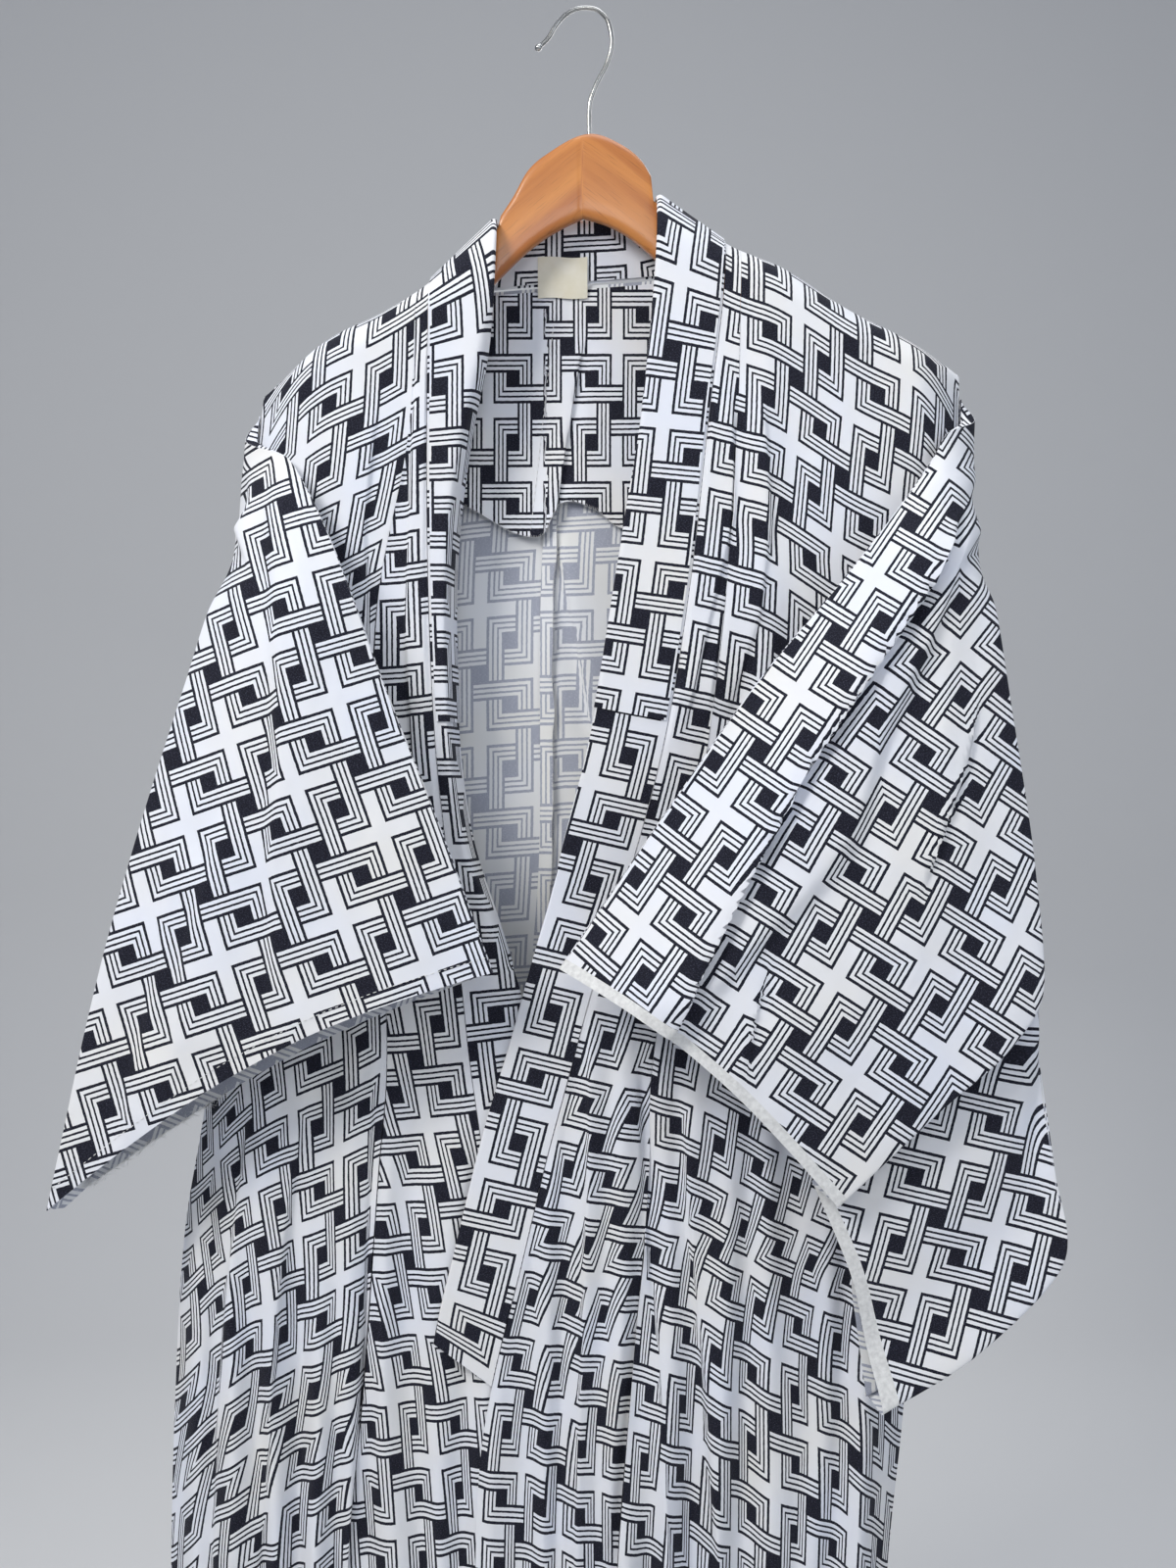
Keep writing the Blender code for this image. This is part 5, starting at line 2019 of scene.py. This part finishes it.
@dataclass
class Yoke:
    """Shoulder lining inside the back, loose at its wavy lower edge."""

    drape: Drape
    wall: float = 0.0008
    cloth: float = 0.0015
    rows: int = 70
    columns: int = 90
    right_top: float = -0.088
    right_hem: float = -0.125
    left: float = 0.082
    seam_x: float = -0.036
    print_step: float = 0.021

    def build(self, finishes: Finishes) -> list[bpy.types.Object]:
        """Builds the lining.

        Args:
            finishes: the materials.

        Returns:
            The lining, its stitches and its frayed edge.
        """
        drape, rows = self.drape, []
        for r in range(self.rows + 1):
            share, row = r / self.rows, []
            for c in range(self.columns + 1):
                x = mix(mix(self.right_top, self.right_hem, share), self.left, c / self.columns)
                top = drape.neck_z(x) - mix(0.003, 0.010, ramp((abs(x) - 0.10) / 0.03))
                z = mix(top, read(YOKE_HEM, "z", x), share)
                side = Side.RIGHT if x < read(BACK_SEAM, "z", -z) else Side.LEFT
                y = drape.back_y(side, x, z) - self.cloth - 2 * drape.seam - 0.006 * share**3
                y -= 0.0006 * ramp(share) * (1 + noise.noise(Vector((x * 50, 2.0, z * 14))))
                row.append((x, y, z))
            rows.append(row)
        grid = np.array(rows)
        x, z = grid[..., 0].copy(), grid[..., 2].copy()
        lap, hidden, shift = lap_field(YOKE_LAPS, x, z)
        calm = ramps((z[:1] - z) / 0.03)
        u = 1.2 * x + hidden + self.print_step * ramps((x - self.seam_x) / 0.001)
        v = z - 0.22 * hidden / 0.012 * np.maximum(x + 0.012, 0) * ramps((-z - 0.28) / 0.06)
        grid[..., 1] -= calm * lap
        grid[..., 0] += calm * shift
        piece = cloth_mesh("cloth_yoke", grid, np.stack([u, v], axis=-1), self.wall, -1)
        finishes.dress(piece, finishes.outside, finishes.outside, finishes.outside)
        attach(piece, "root")
        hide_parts("yoke")
        lift = np.array([0.0, -0.0006, 0.0])
        seam = int(np.argmin(np.abs(x[30] - self.seam_x)))
        line, way = beads(grid[8:, seam] + lift, 0.0060)
        stitches = Threads(0.0036, 0.0003, 0.05, 0.0, 3).lay(
            "stitches_yoke", line, way, finishes.thread
        )
        line, _ = beads(grid[-1] + lift, 0.0016)
        drop = np.tile([0.0, -0.25, -1.0], (len(line), 1))
        frayed = Threads(0.0040, 0.00012, 0.5, 0.002, 4).lay(
            "fray_yoke", line, drop, finishes.thread
        )
        return [piece, stitches, frayed]


@dataclass
class SeamAllowance:
    """The raw edges of the back's centre seam, pressed to one side and frayed."""

    drape: Drape
    top: float = -0.405
    bottom: float = -0.800
    width: float = 0.011
    cloth: float = 0.0026
    rows: int = 120
    columns: int = 8

    def build(self, finishes: Finishes) -> list[bpy.types.Object]:
        """Builds the strip and its loose threads.

        Args:
            finishes: the materials.

        Returns:
            The strip and its threads.
        """
        rows = []
        for r in range(self.rows + 1):
            z = mix(self.top, self.bottom, r / self.rows)
            seam, row = read(BACK_SEAM, "z", -z), []
            edge = self.width * (1 + 0.25 * noise.noise(Vector((z * 30, 3.0, 1.0))))
            for c in range(self.columns + 1):
                share = c / self.columns
                lift = 0.0022 * share * (1 + noise.noise(Vector((z * 22, 8.0, share))))
                x = seam + edge * share
                y = self.drape.back_y(Side.LEFT, x, z) - self.cloth - lift
                row.append((x, y, z))
            rows.append(row)
        grid = np.array(rows)
        piece = cloth_mesh("cloth_seam_allowance", grid, grid[..., [0, 2]], 0.0006, -1)
        finishes.dress(piece, finishes.reverse, finishes.reverse, finishes.thread)
        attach(piece, "root")
        line, _ = beads(grid[:, -1], 0.0013)
        out = np.tile([1.0, -0.4, -0.2], (len(line), 1))
        frayed = Threads(0.0060, 0.00012, 0.7, 0.003, 7).lay(
            "fray_centre_seam", line, out, finishes.thread
        )
        return [piece, frayed]


@dataclass
class Label:
    """Blank cotton tag at the back neck."""

    top: tuple[float, float] = (-0.200, 0.0197)
    bottom: tuple[float, float] = (-0.233, 0.0266)
    left_x: float = -0.0425
    right_x: float = -0.0005
    curl: float = 0.0009
    rows: int = 16
    columns: int = 20

    def build(self, finishes: Finishes) -> bpy.types.Object:
        """Builds the tag with a slight curl.

        Args:
            finishes: the materials.

        Returns:
            The piece.
        """
        rows = []
        for r in range(self.rows + 1):
            share, row = r / self.rows, []
            for c in range(self.columns + 1):
                x = mix(self.left_x, self.right_x, c / self.columns)
                curl = self.curl * ramp(share) * math.sin(c / self.columns * math.pi)
                y = mix(self.top[1], self.bottom[1], share) - curl
                z = mix(self.top[0], self.bottom[0], share)
                row.append((x, y, z + 0.0006 * math.sin(c / 3.0)))
            rows.append(row)
        grid = np.array(rows)
        piece = cloth_mesh("cotton_label", grid, grid[..., [0, 2]], 0.0006, -1)
        finishes.dress(piece, finishes.tape, finishes.tape, finishes.tape)
        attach(piece, "root")
        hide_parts("label")
        return piece


@dataclass
class WoodenHanger:
    """Bowed wooden hanger, its two arms mitred at the middle."""

    drape: Drape
    half: float = 0.0070
    gap: float = 0.0012
    cloth: float = 0.0015
    mitre_x: float = -0.0055
    left_slope: float = 40.0
    right_slope: float = 37.0
    steps: int = 220
    around: int = 40
    end_round: float = 0.012
    blunt: float = 0.3

    def top(self, x: float) -> float:
        """Upper edge of the wood.

        Args:
            x: place across, metres.

        Returns:
            Height in metres.
        """
        if WOOD_TOP[0].x * CM <= x <= WOOD_TOP[-1].x * CM:
            return read(WOOD_TOP, "z", x)
        for start, end in UNDER_COLLAR:
            share = (x / CM - start.x) / (end.x - start.x)
            if 0 <= share <= 1:
                return mix(start.z, end.z, share) * CM
        return self.drape.ridge_z(x) - self.cloth - self.gap

    def bottom(self, x: float) -> float:
        """Lower edge of the wood, pointed where the arms meet.

        Args:
            x: place across, metres.

        Returns:
            Height in metres.
        """
        low, peak, high = WOOD_BOTTOM[2:5]
        for start, end in ((low, peak), (peak, high)):
            share = (x / CM - start.x) / (end.x - start.x)
            if 0 <= share <= 1:
                bow = 0.7 * math.sin(math.pi * share)
                return (mix(start.z, end.z, share) + bow) * CM
        return read(WOOD_BOTTOM, "z", x)

    def build(self, finishes: Finishes) -> bpy.types.Object:
        """Builds the wood in place of its node.

        Args:
            finishes: the materials.

        Returns:
            The piece.
        """
        left, right = WOOD_BOTTOM[0].x * CM, WOOD_BOTTOM[-1].x * CM
        rings = []
        for i in range(self.steps + 1):
            x = mix(left, right, i / self.steps)
            ends = max(bulge(min(x - left, right - x) / self.end_round), self.blunt)
            top, bottom = self.top(x), self.bottom(x)
            middle, half = (top + bottom) / 2, (top - bottom) / 2
            groove = 0.0006 * math.exp(-(((x - self.mitre_x) / 0.0009) ** 2))
            ring = []
            for k in range(self.around):
                a = 2 * math.pi * k / self.around
                across = math.copysign(abs(math.sin(a)) ** 0.55, math.sin(a))
                upright = math.copysign(abs(math.cos(a)) ** 0.35, math.cos(a))
                y = -across * (self.half * ends - groove * abs(across))
                ring.append((x, y, middle + upright * half * mix(0.75, 1, ends)))
            rings.append(ring)
        grid = np.array(rings)
        left_arm = grid[..., 0] < self.mitre_x
        slope = np.radians(np.where(left_arm, self.left_slope, -self.right_slope))
        along = grid[..., 0] * np.cos(slope) + grid[..., 2] * np.sin(slope)
        beside = grid[..., 2] * np.cos(slope) - grid[..., 0] * np.sin(slope) + grid[..., 1]
        uv = np.stack([along + 0.7 * left_arm, beside], axis=-1)
        piece = cloth_mesh("hanger_arms", grid, uv, 0.002, 1, True)
        finishes.dress(piece, finishes.wood, finishes.wood, finishes.wood)
        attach(piece, "root")
        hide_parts("hanger_wood")
        return piece


@dataclass
class WireHook:
    """Bent wire hook with a rounded tip."""

    radius: float = 0.0019
    tip: float = 0.0030
    tip_start: float = 0.002
    least: float = 0.0001
    steps: int = 120
    tip_steps: int = 13
    around: int = 20

    def build(self, finishes: Finishes) -> bpy.types.Object:
        """Builds the hook in place of its node.

        Args:
            finishes: the materials.

        Returns:
            The piece.
        """
        control = np.array([[p.x * CM, 0.0, p.z * CM] for p in HOOK_PATH])
        count = len(control)
        path = smooth_through(control, list(range(count)), np.linspace(0, count - 1, self.steps))
        run = np.gradient(path, axis=0)
        run /= np.linalg.norm(run, axis=1, keepdims=True)
        end = run[-1]
        centres, runs = list(path[:-1]), list(run[:-1])
        sizes = [self.radius] * len(centres)
        for k in range(self.tip_steps + 1):
            a = mix(0.70 * math.pi, 0, k / self.tip_steps)
            centres.append(path[-1] + end * (self.tip_start + self.tip * math.cos(a)))
            runs.append(end)
            sizes.append(max(self.tip * math.sin(a), self.least))
        rings = []
        side = np.array([0.0, 1.0, 0.0])
        turn = [2 * math.pi * k / self.around for k in range(self.around)]
        for centre, way, size in zip(centres, runs, sizes):
            up = np.cross(side, way)
            rings.append([centre + side * size * math.cos(a) + up * size * math.sin(a) for a in turn])
        grid = np.array(rings)
        piece = cloth_mesh("wire_hook", grid, grid[..., [0, 2]], 0.00005, -1, True)
        finishes.dress(piece, finishes.wire, finishes.wire, finishes.wire)
        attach(piece, "root")
        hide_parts("hook")
        return piece


@dataclass
class Studio:
    """Pale sweep, soft lights and the camera."""

    middle: Vector = field(default_factory=lambda: Vector((0.0, 0.0, -0.646)))
    distance: float = 1.40
    lens: float = 38.5
    floor_z: float = -1.66
    floor_half: float = 9.0
    bend_y: float = 1.6
    bend_radius: float = 0.8
    wall_top: float = 4.0

    def build(self) -> None:
        """Builds the room round the object."""
        self.sweep()
        self.light("key", (-1.5, -1.7, 0.9), 0.8, 46.0, (1.0, 0.98, 0.95))
        self.light("fill", (1.8, -1.6, 0.1), 1.6, 10.0, (0.90, 0.94, 1.0))
        self.light("front", (0.0, -1.7, 0.1), 0.5, 3.5, (1.0, 1.0, 1.0))
        self.light("top", (0.3, -0.3, 1.5), 1.4, 17.0, (0.94, 0.97, 1.0))
        self.light("back", (0.4, 1.6, 0.4), 1.4, 20.0, (1.0, 1.0, 1.0))
        world = bpy.data.worlds.new("room")
        bpy.context.scene.world = world
        world.use_nodes = True
        sky = world.node_tree.nodes["Background"]
        feed(world.node_tree, sky, {"Color": (0.76, 0.84, 1.0, 1), "Strength": 0.34})
        bpy.context.scene.view_settings.view_transform = "Standard"
        camera = bpy.data.cameras.new("camera")
        camera.lens = self.lens
        camera.sensor_width = 36.0
        viewer = bpy.data.objects.new("camera", camera)
        viewer.location = self.middle + Vector((0, -self.distance, 0))
        viewer.rotation_euler = (math.radians(90), 0, 0)
        bpy.context.scene.collection.objects.link(viewer)
        bpy.context.scene.camera = viewer

    def light(
        self,
        name: str,
        place: tuple[float, float, float],
        size: float,
        power: float,
        colour: tuple[float, float, float],
    ) -> None:
        """A square soft light aimed at the garment.

        Args:
            name: the light's name.
            place: its place in metres.
            size: length of its side in metres.
            power: its power in watts.
            colour: its colour, linear.
        """
        lamp = bpy.data.lights.new(name, "AREA")
        lamp.size, lamp.energy = size, power
        lamp.color = colour
        holder = bpy.data.objects.new(name, lamp)
        holder.location = place
        aim = self.middle - Vector(place)
        holder.rotation_euler = aim.to_track_quat("-Z", "Y").to_euler()
        bpy.context.scene.collection.objects.link(holder)

    def sweep(self) -> None:
        """A pale floor that curves up into a backdrop."""
        level, bend, turn = self.floor_z, self.bend_radius, 12
        profile = [(-self.floor_half, level), (self.bend_y, level)]
        for k in range(1, turn + 1):
            a = math.pi / 2 * k / turn
            profile.append((self.bend_y + bend * math.sin(a), level + bend * (1 - math.cos(a))))
        profile.append((self.bend_y + bend, self.wall_top))
        verts = [(x, y, z) for y, z in profile for x in (-self.floor_half, self.floor_half)]
        faces = [(2 * i, 2 * i + 1, 2 * i + 3, 2 * i + 2) for i in range(len(profile) - 1)]
        mesh = bpy.data.meshes.new("floor")
        mesh.from_pydata(verts, [], faces)
        mesh.shade_smooth()
        floor = bpy.data.objects.new("floor", mesh)
        bpy.context.scene.collection.objects.link(floor)
        material, tree, shader = new_material("pale_floor")
        feed(tree, shader, {"Base Color": (0.62, 0.62, 0.62, 1), "Roughness": 0.9})
        mesh.materials.append(material)


def main() -> None:
    """Builds every sub-assembly in order."""
    logging.basicConfig(level=logging.INFO, format="%(message)s")
    finishes, drape = Finishes(), Drape()
    Studio().build()
    pieces = Body(drape).build(finishes)
    pieces += Collar(drape).build(finishes)
    pieces += Sleeve(Side.RIGHT, drape, laps=RIGHT_LAPS, print_angle=18).build(finishes)
    pieces += Sleeve(
        Side.LEFT, drape, laps=LEFT_LAPS, print_angle=-34, hidden_print_angle=-14,
        tucked_from=0.57,
    ).build(finishes)
    pieces += Yoke(drape).build(finishes)
    pieces += SeamAllowance(drape).build(finishes)
    pieces.append(Label().build(finishes))
    pieces.append(WoodenHanger(drape).build(finishes))
    pieces.append(WireHook().build(finishes))
    for piece in pieces:
        LOG.info("%s: %d faces", piece.name, len(piece.data.polygons))


if __name__ == "__main__":
    main()
